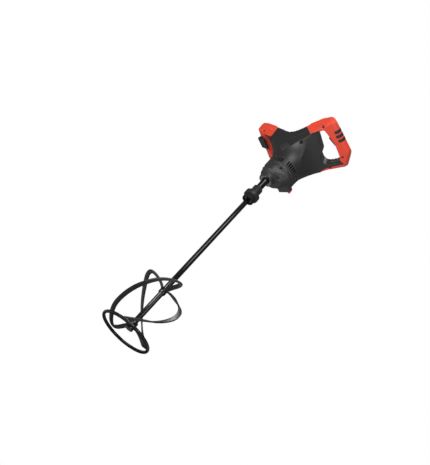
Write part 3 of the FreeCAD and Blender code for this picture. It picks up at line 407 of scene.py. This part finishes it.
def ease_edges(name, width):
    """Takes the sharpness off the edges of a turned or moulded part."""
    part = nodes[name]
    weld = part.modifiers.new("weld", "WELD")
    weld.merge_threshold = WELD_GAP
    bevel = part.modifiers.new("ease", "BEVEL")
    bevel.width = width
    bevel.segments = EASE_STEPS
    bevel.limit_method = "ANGLE"
    bevel.angle_limit = SHARP_ANGLE
    bevel.harden_normals = True
    shade_smooth(part)


for name, width in eased_edges.items():
    ease_edges(name, width * MM)


# Housing: the mouldings with their edges rounded

LOOP_SLOPE = math.radians(22.0)
GRIP_MIDDLE = (126.0, 12.0, 191.0)
FAR = 300.0

HOUSING_NODES = ("housing_shell", "saddle_cover", "right_grip_lower", "right_grip_upper",
                 "left_grip_lower", "left_grip_upper")
RED_BORDER = (
    (-FAR, -FAR), (-FAR, -58.6), (-32.0, -58.6), (-31.25, -50.5), (-31.25, -6.0), (-12.6, 42.0),
    (-3.0, 60.0), (-72.0, 60.0), (-72.0, FAR), (FAR, FAR), (FAR, -FAR),
)
RED_START = -65.5
RED_LEAN = {1: 0.43, -1: 0.06}
PARTING_LOW = GRIP_MIDDLE[2] - GRIP_MIDDLE[0] * math.tan(LOOP_SLOPE)
PARTING_GAP = 0.35
VENT_BAND_TOP = 80.0
# middle in degrees, number of vents
VENT_ROWS = ((0.0, 10), (90.0, 8), (180.0, 10), (270.0, 8))
VENT_PITCH = 8.2
VENT_HALF = 1.7
VENT_LOW, VENT_HIGH = 59.0, 75.0
VENT_INNER, VENT_OUTER = 40.0, 56.0
HOUSING_VOXEL = 1.3
HOUSING_ROUNDS = 14
SOFT_RISE = 20.0
BAND_SOFTNESS = 0.12
MOTOR_OFFSET = 20.0
# across, along the hand loop
LOOP_SCREWS = ((-20.6, -64.0), (-0.7, 39.3), (-46.9, 62.3))
WELL_RADIUS = 3.5
WELL_LOW, WELL_HIGH = -45.0, -4.0
TRIGGER_POCKET = ((-22.9, -30.4), (9.2, -30.4), (9.2, 5.9), (-22.9, 5.9))
TRIGGER_HALF = 6.6
# across, along, radius, floor
BUTTON_WELL = (6.0, 24.0, 4.8, -2.6)
ACROSS_Y = Matrix(((1, 0, 0, 0), (0, 0, -1, 0), (0, 1, 0, 0), (0, 0, 0, 1)))


def loop_frame(side):
    """Frame of a hand loop: across, along and square to it; side is 1 on the right, -1 on the left."""
    across = Vector((side * math.cos(LOOP_SLOPE), 0.0, math.sin(LOOP_SLOPE)))
    square = Vector((-side * math.sin(LOOP_SLOPE), 0.0, math.cos(LOOP_SLOPE)))
    turn = Matrix((across, Vector((0.0, 1.0, 0.0)), square)).transposed().to_4x4()
    x, y, z = GRIP_MIDDLE
    return Matrix.Translation(Vector((side * x, y, z)) * MM) @ turn


def new_object(name, mesh):
    thing = bpy.data.objects.new(name, mesh)
    bpy.context.scene.collection.objects.link(thing)
    return thing


def closed_mesh(name, build):
    """Mesh of a closed body, with its faces turned outward."""
    mesh = bpy.data.meshes.new(name)
    bmesh.ops.recalc_face_normals(build, faces=build.faces)
    build.to_mesh(mesh)
    build.free()
    return mesh


def walls(build, rings):
    """Faces between rings of points that follow one another."""
    for ring, after in zip(rings, rings[1:]):
        count = len(ring)
        for k in range(count):
            nxt = (k + 1) % count
            build.faces.new((ring[k], ring[nxt], after[nxt], after[k]))


def prism(name, outline, low, high, place):
    """Cutting prism over an outline of the x-y plane, in millimetres, set down by a matrix."""
    build = bmesh.new()
    floor = [build.verts.new(place @ (Vector((a, b, low)) * MM)) for a, b in outline]
    roof = [build.verts.new(place @ (Vector((a, b, high)) * MM)) for a, b in outline]
    build.faces.new(floor)
    build.faces.new(roof)
    walls(build, (floor, roof))
    return new_object(name, closed_mesh(name, build))


def round_tool(name, radius, low, high, place, sides=40):
    """Cutting cylinder along z, set down by a matrix."""
    turns = [2 * math.pi * k / sides for k in range(sides)]
    return prism(name, [(radius * math.cos(a), radius * math.sin(a)) for a in turns], low, high, place)


def moved(x, y):
    return Matrix.Translation(Vector((x, y, 0.0)) * MM)


def settle(thing):
    """Works the modifiers into the mesh."""
    graph = bpy.context.evaluated_depsgraph_get()
    mesh = bpy.data.meshes.new_from_object(thing.evaluated_get(graph))
    thing.modifiers.clear()
    before = thing.data
    thing.data = mesh
    mesh.name = before.name
    bpy.data.meshes.remove(before)


def worked(thing, operation, *tools):
    """Cuts a piece by tools, or keeps what lies inside them."""
    for tool in tools:
        step = thing.modifiers.new(operation.lower(), "BOOLEAN")
        step.operation = operation
        step.solver = "MANIFOLD"
        step.object = tool
    settle(thing)


def clear_tools(*tools):
    for tool in tools:
        mesh = tool.data
        bpy.data.objects.remove(tool)
        bpy.data.meshes.remove(mesh)


def surface_of(*things):
    """Search tree over the skins of several pieces, all at rest in the frame."""
    points, faces = [], []
    for thing in things:
        start = len(points)
        points += [vertex.co.copy() for vertex in thing.data.vertices]
        faces += [[start + index for index in face.vertices] for face in thing.data.polygons]
    return BVHTree.FromPolygons(points, faces)


def add_skin(thing, voxel):
    """Makes one closed skin of all that lies in a mesh."""
    skin = thing.modifiers.new("skin", "REMESH")
    skin.mode = "VOXEL"
    skin.voxel_size = voxel * MM


def add_easing(thing, rounds):
    """Rounds the edges of a fine skin."""
    easing = thing.modifiers.new("easing", "SMOOTH")
    easing.factor = 0.5
    easing.iterations = rounds
    return easing


def soft_form():
    """The closed housing as one body with its outer edges rounded; the vent band keeps its edges."""
    build = bmesh.new()
    for name in HOUSING_NODES:
        build.from_mesh(nodes[name].data)
    form = new_object("housing_form", closed_mesh("housing_form", build))
    add_skin(form, HOUSING_VOXEL)
    settle(form)
    softness = form.vertex_groups.new(name="softness")
    for vertex in form.data.vertices:
        rise = (vertex.co.z / MM - VENT_BAND_TOP) / SOFT_RISE
        softness.add([vertex.index], min(1.0, max(BAND_SOFTNESS, rise)), "REPLACE")
    add_easing(form, HOUSING_ROUNDS).vertex_group = "softness"
    settle(form)
    form.vertex_groups.clear()
    return form


def copy_of(form, name):
    return new_object(name, form.data.copy())


def joined(name, tools):
    """One mesh from several, which are cleared away."""
    build = bmesh.new()
    for tool in tools:
        build.from_mesh(tool.data)
    clear_tools(*tools)
    return new_object(name, closed_mesh(name, build))


def vent_slots():
    """All vents as one tool, in four rows round the motor."""
    slots = []
    outline = ((VENT_INNER, -VENT_HALF), (VENT_OUTER, -VENT_HALF),
               (VENT_OUTER, VENT_HALF), (VENT_INNER, VENT_HALF))
    for middle, count in VENT_ROWS:
        for index in range(count):
            angle = math.radians(middle + (index - (count - 1) / 2) * VENT_PITCH)
            place = moved(0.0, MOTOR_OFFSET) @ Matrix.Rotation(angle, 4, "Z")
            slots.append(prism("vent_slot", outline, VENT_LOW, VENT_HIGH, place))
    return joined("vent_slots", slots)


def parting_tool(name, lift):
    """All that lies above the sloping parting of the housing."""
    low = PARTING_LOW + lift
    rise = FAR * math.tan(LOOP_SLOPE)
    outline = ((-FAR, low + rise), (0.0, low), (FAR, low + rise), (FAR, 2 * FAR), (-FAR, 2 * FAR))
    return prism(name, outline, -FAR, FAR, ACROSS_Y)


def red_region(side):
    """All of a hand loop that is red."""
    region = prism("red_region", RED_BORDER, -FAR, FAR, loop_frame(side))
    lean = RED_LEAN[side] * FAR
    inner = ((-2 * FAR, -FAR), (RED_START + lean, -FAR), (RED_START - lean, FAR), (-2 * FAR, FAR))
    cut = prism("red_border", inner, 0.0, FAR, loop_frame(side) @ ACROSS_Y)
    worked(region, "DIFFERENCE", cut)
    clear_tools(cut)
    return region


def screw_wells():
    """The deep screw holes of both hand loops as one tool."""
    places = [loop_frame(side) @ moved(*screw) for side in (1, -1) for screw in LOOP_SCREWS]
    wells = [round_tool("well", WELL_RADIUS, WELL_LOW, WELL_HIGH, place) for place in places]
    return joined("screw_wells", wells)


def housing_skins():
    """Parts the soft form again along the borders of the mouldings.

    They are the black shell and cover and the red grip halves; the surface of the whole form comes with them.
    """
    form = soft_form()
    above = parting_tool("above_parting", PARTING_GAP)
    below = parting_tool("below_parting", 0.0)
    regions = {side: red_region(side) for side in (1, -1)}
    upper, lower = copy_of(form, "upper"), copy_of(form, "lower")
    worked(upper, "INTERSECT", above)
    worked(lower, "DIFFERENCE", below)
    skins = {}
    for node, half in (("housing_shell", lower), ("saddle_cover", upper)):
        skins[node] = copy_of(half, node + "_skin")
        worked(skins[node], "DIFFERENCE", regions[1], regions[-1])
    for word, side in (("right", 1), ("left", -1)):
        for node, half in ((word + "_grip_lower", lower), (word + "_grip_upper", upper)):
            skins[node] = copy_of(half, node + "_skin")
            worked(skins[node], "INTERSECT", regions[side])
    vents, wells = vent_slots(), screw_wells()
    worked(skins["housing_shell"], "DIFFERENCE", vents)
    for node in ("housing_shell", "right_grip_lower", "left_grip_lower"):
        worked(skins[node], "DIFFERENCE", wells)
    across, along, radius, low = BUTTON_WELL
    pocket = prism("trigger_pocket", TRIGGER_POCKET, -TRIGGER_HALF, TRIGGER_HALF, loop_frame(1))
    button_well = round_tool("button_well", radius, low, FAR, loop_frame(1) @ moved(across, along))
    for node in ("right_grip_lower", "right_grip_upper"):
        worked(skins[node], "DIFFERENCE", pocket, button_well)
    whole = surface_of(form)
    clear_tools(form, upper, lower, above, below, vents, wells, pocket, button_well, *regions.values())
    for node, skin in skins.items():
        shade_smooth(skin)
        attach(skin, "housing")
        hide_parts(node)
        dress(skin, node_finish[node])
    return skins, whole


# Bars, flutes and the bare plate of the housing

# along the grip, across to the middle of the sweep
BAR_PLACES = ((-39.5, 4.0), (-26.0, 4.0), (-12.5, 5.5))
BAR_HALF = 4.7
BAR_PROUD = 0.5
BAR_START, BAR_END = -92.0, 70.0
BAR_STEPS, BAR_COLUMNS = 28, 8
BAR_END_STEPS = 3.0
BAR_END_ROUND = 0.85
FLUTES = (-62.0, -53.0, -44.0, -35.0, -10.0)
FLUTE_RADIUS = 1.7
FLUTE_MIDDLE = -70.0
FLUTE_START, FLUTE_END, FLUTE_STEP = -30, 110, 5
FLUTE_LEAD = 0.15
SLOT_LINE = ((-9.0, -11.0, -16.0), (10.5, 20.0, -16.0))
SLOT_LINE_STEPS = 12
SLOT_LINE_RADIUS = 0.7
GROOVE_SIDES = 10
GROOVE_TIP, GROOVE_TAPER = 0.35, 0.4
GROOVE_LIFT = 0.35
PLATE_CORNERS = ((-13.8, 113.6), (3.8, 97.4), (23.1, 118.2), (3.3, 130.8))
PLATE_ROWS, PLATE_COLUMNS = 12, 16
PLATE_PROUD = 0.6
PLATE_CROWN = 0.3
SUNK = 0.8
OUTSIDE = 0.08
IN_FRONT = -0.2


def laid_plate(name, tree, rays, proud, crown=0.45):
    """Closed thin plate that lies on a surface: rays is a grid of (start, direction) that meets it."""
    build = bmesh.new()
    rows, columns = len(rays), len(rays[0])
    top, low = {}, {}
    for row in range(rows):
        for column in range(columns):
            start, direction = rays[row][column]
            place, normal, face, distance = tree.ray_cast(start, direction)
            if normal.dot(direction) > 0.0:
                normal = -normal
            rim = min(row, rows - 1 - row, column, columns - 1 - column)
            height = proud * MM * (crown if rim == 0 else 1.0)
            top[row, column] = build.verts.new(place + normal * height)
            low[row, column] = build.verts.new(place - normal * SUNK * MM)
    for row in range(rows - 1):
        for column in range(columns - 1):
            corner = ((row, column), (row + 1, column), (row + 1, column + 1), (row, column + 1))
            build.faces.new([top[key] for key in corner])
            build.faces.new([low[key] for key in reversed(corner)])
    border = [(0, c) for c in range(columns)] + [(r, columns - 1) for r in range(1, rows)]
    border += [(rows - 1, c) for c in range(columns - 2, -1, -1)] + [(r, 0) for r in range(rows - 2, 0, -1)]
    for here, after in zip(border, border[1:] + border[:1]):
        build.faces.new((top[here], top[after], low[after], low[here]))
    plate = new_object(name, closed_mesh(name, build))
    shade_smooth(plate)
    return plate


def grip_bars(tree):
    """Three soft bars let into the outer side of the right grip."""
    loop = loop_frame(1)
    turn = loop.to_3x3()
    for index, (middle, inner) in enumerate(BAR_PLACES):
        rays = []
        for step in range(BAR_STEPS + 1):
            share = step / BAR_STEPS
            angle = math.radians(BAR_START + (BAR_END - BAR_START) * share)
            outward = Vector((math.cos(angle), 0.0, math.sin(angle)))
            to_end = min(share, 1.0 - share) * BAR_STEPS
            half = BAR_HALF * math.sqrt(1.0 - max(0.0, 1.0 - to_end / BAR_END_STEPS) ** 2 * BAR_END_ROUND)
            row = []
            for column in range(BAR_COLUMNS + 1):
                along = middle + half * (2 * column / BAR_COLUMNS - 1.0)
                start = Vector((inner, along, 0.0)) * MM + outward * OUTSIDE
                row.append((loop @ start, -(turn @ outward)))
            rays.append(row)
        bar = laid_plate("grip_bar_%d" % (index + 1), tree, rays, BAR_PROUD)
        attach(bar, "housing")
        dress(bar, "soft_black")


def surface_line(tree, points, loop):
    """Places and normals on a surface nearest to points of a hand loop's frame, in millimetres."""
    line = []
    for point in points:
        place, normal, face, distance = tree.find_nearest(loop @ (Vector(point) * MM))
        line.append((place, normal))
    return line


def groove_tool(name, line, radius):
    """Thin closed tube along a surface line, to cut a groove; it tapers out at both ends."""
    build = bmesh.new()
    rings = []
    last = len(line) - 1
    for index, (place, normal) in enumerate(line):
        ahead = (line[min(index + 1, last)][0] - line[max(index - 1, 0)][0]).normalized()
        cross = ahead.cross(normal).normalized()
        up = cross.cross(ahead)
        middle = place + normal * radius * GROOVE_LIFT
        reach = radius * min(1.0, GROOVE_TIP + GROOVE_TAPER * min(index, last - index))
        ring = []
        for side in range(GROOVE_SIDES):
            angle = 2 * math.pi * side / GROOVE_SIDES
            ring.append(build.verts.new(middle + (cross * math.cos(angle) + up * math.sin(angle)) * reach))
        rings.append(ring)
    walls(build, rings)
    build.faces.new(rings[0])
    build.faces.new(rings[-1])
    return new_object(name, closed_mesh(name, build))


def straight(start, end, steps):
    """Points along a straight line, ends included."""
    return [tuple(a + (b - a) * step / steps for a, b in zip(start, end)) for step in range(steps + 1)]


def flute_line(tree, across, loop):
    """A slanting line from the underside of a front arm round to its front face."""
    turn = loop.to_3x3()
    line = []
    for step in range(FLUTE_START, FLUTE_END + 1, FLUTE_STEP):
        angle = math.radians(step)
        outward = Vector((0.0, -math.sin(angle), -math.cos(angle)))
        lead = FLUTE_LEAD * (step - FLUTE_START)
        start = Vector((across + lead, FLUTE_MIDDLE, 0.0)) * MM + outward * OUTSIDE
        place, normal, face, distance = tree.ray_cast(loop @ start, -(turn @ outward))
        if place:
            line.append((place, normal))
    return line


def grip_grooves(skins, whole):
    """Moulded flutes on the front arms and the slot line that runs on from the trigger."""
    for side, word in ((1, "right"), (-1, "left")):
        halves = (skins[word + "_grip_lower"], skins[word + "_grip_upper"])
        loop = loop_frame(side)
        lines = [flute_line(whole, across, loop) for across in FLUTES]
        tools = [groove_tool("flute", line, FLUTE_RADIUS * MM) for line in lines]
        if side > 0:
            line = surface_line(surface_of(*halves), straight(*SLOT_LINE, SLOT_LINE_STEPS), loop)
            tools.append(groove_tool("slot_line", line, SLOT_LINE_RADIUS * MM))
        for tool in tools:
            for half in halves:
                worked(half, "DIFFERENCE", tool)
        clear_tools(*tools)


def front_plate(tree):
    """Bare plate on the front face."""
    left_low, right_low, right_high, left_high = (Vector(corner) for corner in PLATE_CORNERS)
    rays = []
    for row in range(PLATE_ROWS + 1):
        line = []
        for column in range(PLATE_COLUMNS + 1):
            low = left_low.lerp(right_low, column / PLATE_COLUMNS)
            high = left_high.lerp(right_high, column / PLATE_COLUMNS)
            place = low.lerp(high, row / PLATE_ROWS) * MM
            line.append((Vector((place.x, IN_FRONT, place.y)), Vector((0.0, 1.0, 0.0))))
        rays.append(line)
    plate = laid_plate("front_plate", tree, rays, PLATE_PROUD, PLATE_CROWN)
    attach(plate, "housing")
    dress(plate, "plate_black")


# Gear case: a stepped casting with flange, nose, bearing boss and selector boss

CASE_AXIS = (0.0, MOTOR_OFFSET)
LAYSHAFT_PLACE = (23.98, 19.05)
# height, then circles as x, y, radius
CASE_LEVELS = (
    (20.5, ((0.0, 0.0, 28.5), (*LAYSHAFT_PLACE, 11.5), (-8.0, 24.0, 18.0))),
    (37.0, ((0.0, 0.0, 30.0), (*LAYSHAFT_PLACE, 24.1), (-13.0, 20.0, 35.0))),
    (47.0, ((*CASE_AXIS, 48.0),)),
    (51.0, ((*CASE_AXIS, 48.0),)),
)
# height, radius
CASE_FLANGE = ((50.4, 49.4), (56.0, 49.4))
NOSE_LEVELS = ((0.0, 21.5), (12.0, 21.5), (15.0, 27.0), (24.0, 27.0))
BEARING_BOSS = ((15.6, 8.0), (17.0, 9.5), (30.0, 13.0))
# x, height
SELECTOR_BOSS = (
    (-16.0, 43.0), (-11.0, 36.5), (22.0, 36.5), (27.5, 42.0),
    (27.5, 52.0), (23.5, 55.0), (-11.0, 55.0), (-16.0, 52.0),
)
SELECTOR_BOSS_SPAN = (-68.0, -48.0)
# x, y, radius, from, to
CASE_ROOMS = (
    (0.0, 0.0, 18.0, -1.0, 3.0), (0.0, 0.0, 16.0, 2.0, 14.0), (0.0, 0.0, 13.0, 13.0, 23.0),
    (0.0, 0.0, 25.6, 22.0, 57.0), (*LAYSHAFT_PLACE, 9.6, 22.0, 57.0), (*LAYSHAFT_PLACE, 5.0, 17.0, 23.0),
    (*LAYSHAFT_PLACE, 21.1, 37.0, 57.0), (*CASE_AXIS, 7.0, 37.0, 57.0), (*CASE_AXIS, 42.6, 49.0, 57.0),
)
ROOM_SIDES = 72
RIM_SCREW_ANGLES = (45.0, 135.0, 225.0, 315.0)
RIM_SCREW_CIRCLE = 46.3
RIM_NOTCH = 3.4
RIM_HEAD = 44.0
# x, height, radius
SELECTOR_STEM = (18.0, 48.0, 3.6)
STEM_SPAN = (-70.0, -60.0)
CASE_VOXEL = 0.8
CASE_ROUNDS = 5
OUTLINE_POINTS = 120
# from and to in degrees, from and to in height
CASE_PAD = (-24.0, -4.0, 26.0, 42.0)
PAD_LEAN = 7.0
PAD_DROP = -0.35
PAD_PROUD = 0.7
PAD_ROWS, PAD_COLUMNS = 10, 12
PAD_OUTSIDE = 0.1


def hull_ring(circles):
    """Outline round several circles (x, y, radius), with the same number of points for any of them."""
    ring = []
    for k in range(OUTLINE_POINTS):
        angle = 2 * math.pi * k / OUTLINE_POINTS
        way = Vector((math.cos(angle), math.sin(angle)))
        x, y, radius = max(circles, key=lambda c: c[0] * way.x + c[1] * way.y + c[2])
        ring.append((x + radius * way.x, y + radius * way.y))
    return ring


def lofted(name, levels):
    """Closed body through outlines at several heights: levels are (height, circles)."""
    build = bmesh.new()
    rings = []
    for height, circles in levels:
        rings.append([build.verts.new(Vector((x, y, height)) * MM) for x, y in hull_ring(circles)])
    build.faces.new(rings[0])
    build.faces.new(rings[-1])
    walls(build, rings)
    return new_object(name, closed_mesh(name, build))


def turned(name, x, y, levels):
    """Round body on an axis: levels are (height, radius)."""
    return lofted(name, [(height, ((x, y, radius),)) for height, radius in levels])


def gear_case_skin():
    """The casting with its rooms, screw notches and selector bore; gives back its outer surface."""
    case = joined("gear_case_skin", [
        lofted("case_body", CASE_LEVELS),
        turned("case_flange", *CASE_AXIS, CASE_FLANGE),
        turned("case_nose", 0.0, 0.0, NOSE_LEVELS),
        turned("case_boss", *LAYSHAFT_PLACE, BEARING_BOSS),
        prism("selector_boss", SELECTOR_BOSS, *SELECTOR_BOSS_SPAN, ACROSS_Y),
    ])
    add_skin(case, CASE_VOXEL)
    add_easing(case, CASE_ROUNDS)
    settle(case)
    tree = surface_of(case)
    cuts = [round_tool("room", radius, low, high, moved(x, y), ROOM_SIDES)
            for x, y, radius, low, high in CASE_ROOMS]
    for degrees in RIM_SCREW_ANGLES:
        angle = math.radians(degrees)
        x, y = RIM_SCREW_CIRCLE * math.cos(angle), MOTOR_OFFSET + RIM_SCREW_CIRCLE * math.sin(angle)
        cuts.append(round_tool("notch", RIM_NOTCH, 0.0, RIM_HEAD, moved(x, y)))
    x, z, radius = SELECTOR_STEM
    cuts.append(round_tool("stem", radius, *STEM_SPAN, ACROSS_Y @ moved(x, z)))
    for cut in cuts:
        worked(case, "DIFFERENCE", cut)
    clear_tools(*cuts)
    shade_smooth(case)
    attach(case, "housing")
    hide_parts("gear_case")
    dress(case, "cast_black")
    return tree


def case_pad(tree):
    """Flat raised field on the side of the gear case."""
    start_angle, end_angle, low, high = CASE_PAD
    rays = []
    for row in range(PAD_ROWS + 1):
        line = []
        for column in range(PAD_COLUMNS + 1):
            share = column / PAD_COLUMNS
            angle = math.radians(start_angle + (end_angle - start_angle) * share)
            outward = Vector((math.cos(angle), math.sin(angle), PAD_DROP)).normalized()
            height = low + (high - low) * row / PAD_ROWS - PAD_LEAN * (share - 0.5)
            line.append((Vector((*CASE_AXIS, height)) * MM + outward * PAD_OUTSIDE, -outward))
        rays.append(line)
    pad = laid_plate("case_pad", tree, rays, PAD_PROUD)
    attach(pad, "housing")
    dress(pad, "cast_black")


# Paddle: each ribbon is one flat bar, bent in a single sweep from the lower hub to the upper one

# radius, degrees, height of each guide point
RIBBON_LINE = (
    (7.7, -2.8, -565.1), (16.7, -1.7, -560.0), (63.1, -9.0, -590.2), (66.0, 30.7, -562.4),
    (66.0, 58.0, -542.0), (66.8, 85.8, -506.0), (66.6, 108.2, -476.2), (67.0, 133.4, -442.9),
    (69.0, 177.0, -417.0), (13.2, 180.4, -433.3), (6.5, 176.5, -444.0),
)
RIBBONS = 3
RIBBON_START = -180.5
RIBBON_HALF_WIDTH = 5.85
RIBBON_HALF_THICKNESS = 2.0
RIBBON_EDGE = 0.9
EDGE_STEPS = 3
SWEEP_ORDER = 4
SWEEP_STEPS = 12


def smooth_line(points):
    """Points along the smooth curve that a row of guide points pulls, ends included."""
    data = bpy.data.curves.new("guide", "CURVE")
    data.dimensions = "3D"
    spline = data.splines.new("NURBS")
    spline.points.add(len(points) - 1)
    for knot, point in zip(spline.points, points):
        knot.co = (*point, 1.0)
    spline.order_u = SWEEP_ORDER
    spline.use_endpoint_u = True
    spline.resolution_u = SWEEP_STEPS
    guide = bpy.data.objects.new("guide", data)
    mesh = bpy.data.meshes.new_from_object(guide)
    line = [vertex.co.copy() for vertex in mesh.vertices]
    bpy.data.objects.remove(guide)
    bpy.data.curves.remove(data)
    bpy.data.meshes.remove(mesh)
    return line


def bar_profile(half_width, half_thickness, edge):
    """Outline of a flat bar with rounded edges."""
    outline = []
    for quarter, (a, b) in enumerate(((1, 1), (-1, 1), (-1, -1), (1, -1))):
        for step in range(EDGE_STEPS + 1):
            angle = math.radians(90.0 * (quarter + step / EDGE_STEPS))
            outline.append((a * (half_width - edge) + edge * math.cos(angle),
                            b * (half_thickness - edge) + edge * math.sin(angle)))
    return outline


def bent_bar(name, line, outline):
    """Flat bar along a line, its width kept level."""
    build = bmesh.new()
    rings = []
    last = len(line) - 1
    for index, place in enumerate(line):
        ahead = (line[min(index + 1, last)] - line[max(index - 1, 0)]).normalized()
        across = ahead.cross(Vector((0.0, 0.0, 1.0))).normalized()
        face = across.cross(ahead)
        rings.append([build.verts.new(place + (across * a + face * b) * MM) for a, b in outline])
    walls(build, rings)
    build.faces.new(rings[0])
    build.faces.new(rings[-1])
    bar = new_object(name, closed_mesh(name, build))
    shade_smooth(bar)
    return bar


def bent_ribbons():
    """The ribbons, the same bar at equal turns round the shaft."""
    outline = bar_profile(RIBBON_HALF_WIDTH, RIBBON_HALF_THICKNESS, RIBBON_EDGE)
    for index in range(RIBBONS):
        points = []
        for radius, angle, height in RIBBON_LINE:
            turn = math.radians(RIBBON_START + 360.0 / RIBBONS * index + angle)
            points.append(Vector((radius * math.cos(turn), radius * math.sin(turn), height)) * MM)
        node = "ribbon_%d" % (index + 1)
        bar = bent_bar(node + "_bar", smooth_line(points), outline)
        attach(bar, "spindle")
        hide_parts(node)
        dress(bar, node_finish[node])


# Pleated dust screen behind the vents

SCREEN_RADIUS = 39.9
SCREEN_PLEAT = 0.55
SCREEN_HALF = 0.25
SCREEN_PLEATS = 110
PLEAT_STEPS = 4
SCREEN_LOW, SCREEN_HIGH = 57.5, 76.5


def dust_screen():
    """Thin pleated sleeve round the motor, closed at both rims."""
    build = bmesh.new()
    steps = PLEAT_STEPS * SCREEN_PLEATS
    section = ((-SCREEN_HALF, SCREEN_LOW), (SCREEN_HALF, SCREEN_LOW), (SCREEN_HALF, SCREEN_HIGH),
               (-SCREEN_HALF, SCREEN_HIGH))
    rings = []
    for wall, height in section:
        ring = []
        for k in range(steps):
            angle = 2 * math.pi * k / steps
            radius = SCREEN_RADIUS + SCREEN_PLEAT * math.sin(SCREEN_PLEATS * angle) + wall
            place = Vector((radius * math.cos(angle), MOTOR_OFFSET + radius * math.sin(angle), height)) * MM
            ring.append(build.verts.new(place))
        rings.append(ring)
    walls(build, rings + rings[:1])
    screen = new_object("dust_screen", closed_mesh("dust_screen", build))
    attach(screen, "housing")
    dress(screen, "soft_black")


skins, whole = housing_skins()
grip_grooves(skins, whole)
grip_bars(whole)
front_plate(whole)
case_pad(gear_case_skin())
bent_ribbons()
dust_screen()


# Stage, light and camera

SENSOR_WIDTH = 36.0
LENS = 48.0
PHOTO_PLACE = Vector((1.1646, -0.7553, -1.0234))
PHOTO_RIGHT = Vector((0.6803, 0.4333, 0.5911))
PHOTO_DOWN = Vector((0.0628, 0.7691, -0.6360))
PHOTO_AHEAD = Vector((-0.7302, 0.4698, 0.4960))
HEAD = Vector((0.0, 0.0, 0.12))
FLOOR_HALF = 5.0
FLOOR_GAP = 0.0004
FLOOR_COLOUR = (0.83, 0.83, 0.83, 1.0)
ROOM_LIGHT, ROOM_GLOSS = 0.36, 0.16


def photo_camera():
    """The photograph's view: from low in front on the right, looking up along the paddle."""
    data = bpy.data.cameras.new("photo_camera")
    data.sensor_width = SENSOR_WIDTH
    data.lens = LENS
    camera = bpy.data.objects.new("photo_camera", data)
    turn = Matrix((PHOTO_RIGHT, -PHOTO_DOWN, -PHOTO_AHEAD)).transposed().to_4x4()
    camera.matrix_world = Matrix.Translation(PHOTO_PLACE) @ turn
    bpy.context.scene.collection.objects.link(camera)
    bpy.context.scene.camera = camera


def studio_floor(level):
    """A pale floor under the paddle, open to a view from below."""
    mesh = bpy.data.meshes.new("floor")
    corners = [(a * FLOOR_HALF, b * FLOOR_HALF, level) for a, b in ((-1, -1), (1, -1), (1, 1), (-1, 1))]
    mesh.from_pydata(corners, [], [(0, 1, 2, 3)])
    floor = bpy.data.objects.new("floor", mesh)
    bpy.context.scene.collection.objects.link(floor)
    material, tree, shader = start_material("pale_floor", 0.0, 0.3)
    tree.links.new(ranged(tree, noise(tree, 3.0), 0.3, 0.7, 0.52, 0.6), shader.inputs["Roughness"])
    shader.inputs["Base Color"].default_value = FLOOR_COLOUR
    clear = tree.nodes.new("ShaderNodeBsdfTransparent")
    choose = tree.nodes.new("ShaderNodeMixShader")
    side = tree.nodes.new("ShaderNodeNewGeometry")
    tree.links.new(side.outputs["Backfacing"], choose.inputs["Fac"])
    tree.links.new(shader.outputs["BSDF"], choose.inputs[1])
    tree.links.new(clear.outputs["BSDF"], choose.inputs[2])
    tree.links.new(choose.outputs["Shader"], tree.nodes["Material Output"].inputs["Surface"])
    mesh.materials.append(material)
    return floor


def by_the_camera(ahead, down, right):
    """Place that lies off the drill's head along the camera's directions."""
    return HEAD + ahead * PHOTO_AHEAD + down * PHOTO_DOWN + right * PHOTO_RIGHT


def soft_light(name, place, size, power):
    """Area light that looks at the drill's head; the camera doesn't see it."""
    data = bpy.data.lights.new(name, "AREA")
    data.shape = "RECTANGLE"
    data.size, data.size_y = size
    data.energy = power
    light = bpy.data.objects.new(name, data)
    light.location = place
    light.rotation_euler = (HEAD - place).to_track_quat("-Z", "Y").to_euler()
    light.visible_camera = False
    bpy.context.scene.collection.objects.link(light)
    return light


def spare(light, thing):
    """The light leaves a thing alone."""
    left_out = bpy.data.collections.new(light.name + "_spares")
    left_out.objects.link(thing)
    left_out.collection_objects[0].light_linking.link_state = "EXCLUDE"
    light.light_linking.receiver_collection = left_out


def white_world(strength, gloss_strength):
    """White ground behind the object; gloss sees a darker room than the paper does."""
    world = bpy.data.worlds.new("white_world")
    bpy.context.scene.world = world
    world.use_nodes = True
    tree = world.node_tree
    sky = tree.nodes["Background"]
    sky.inputs["Color"].default_value = (1.0, 1.0, 1.0, 1.0)
    path = tree.nodes.new("ShaderNodeLightPath")
    unseen = ranged(tree, path.outputs["Is Glossy Ray"], 0.0, 1.0, strength, gloss_strength)
    seen = ranged(tree, path.outputs["Is Camera Ray"], 0.0, 1.0, unseen, 1.0)
    tree.links.new(seen, sky.inputs["Strength"])


photo_camera()
floor = studio_floor(cad_low.z - FLOOR_GAP)
white_world(ROOM_LIGHT, ROOM_GLOSS)
soft_light("key_light", by_the_camera(-0.9, -0.9, 0.5), size=(0.8, 0.8), power=9.0)
front_light = soft_light("front_light", HEAD + Vector((0.14, -0.66, -0.46)), size=(0.5, 0.25), power=3.2)
soft_light("rim_light", by_the_camera(0.5, -0.9, 0.9), size=(0.4, 1.0), power=5.0)
line_light = soft_light("line_light", by_the_camera(-1.25, 0.42, 0.42), size=(0.3, 0.9), power=5.0)
soft_light("top_light", HEAD + Vector((-0.75, 0.15, 1.3)), size=(0.5, 0.5), power=9.0)
spare(front_light, floor)
spare(line_light, floor)
bpy.context.scene.view_settings.view_transform = "Standard"
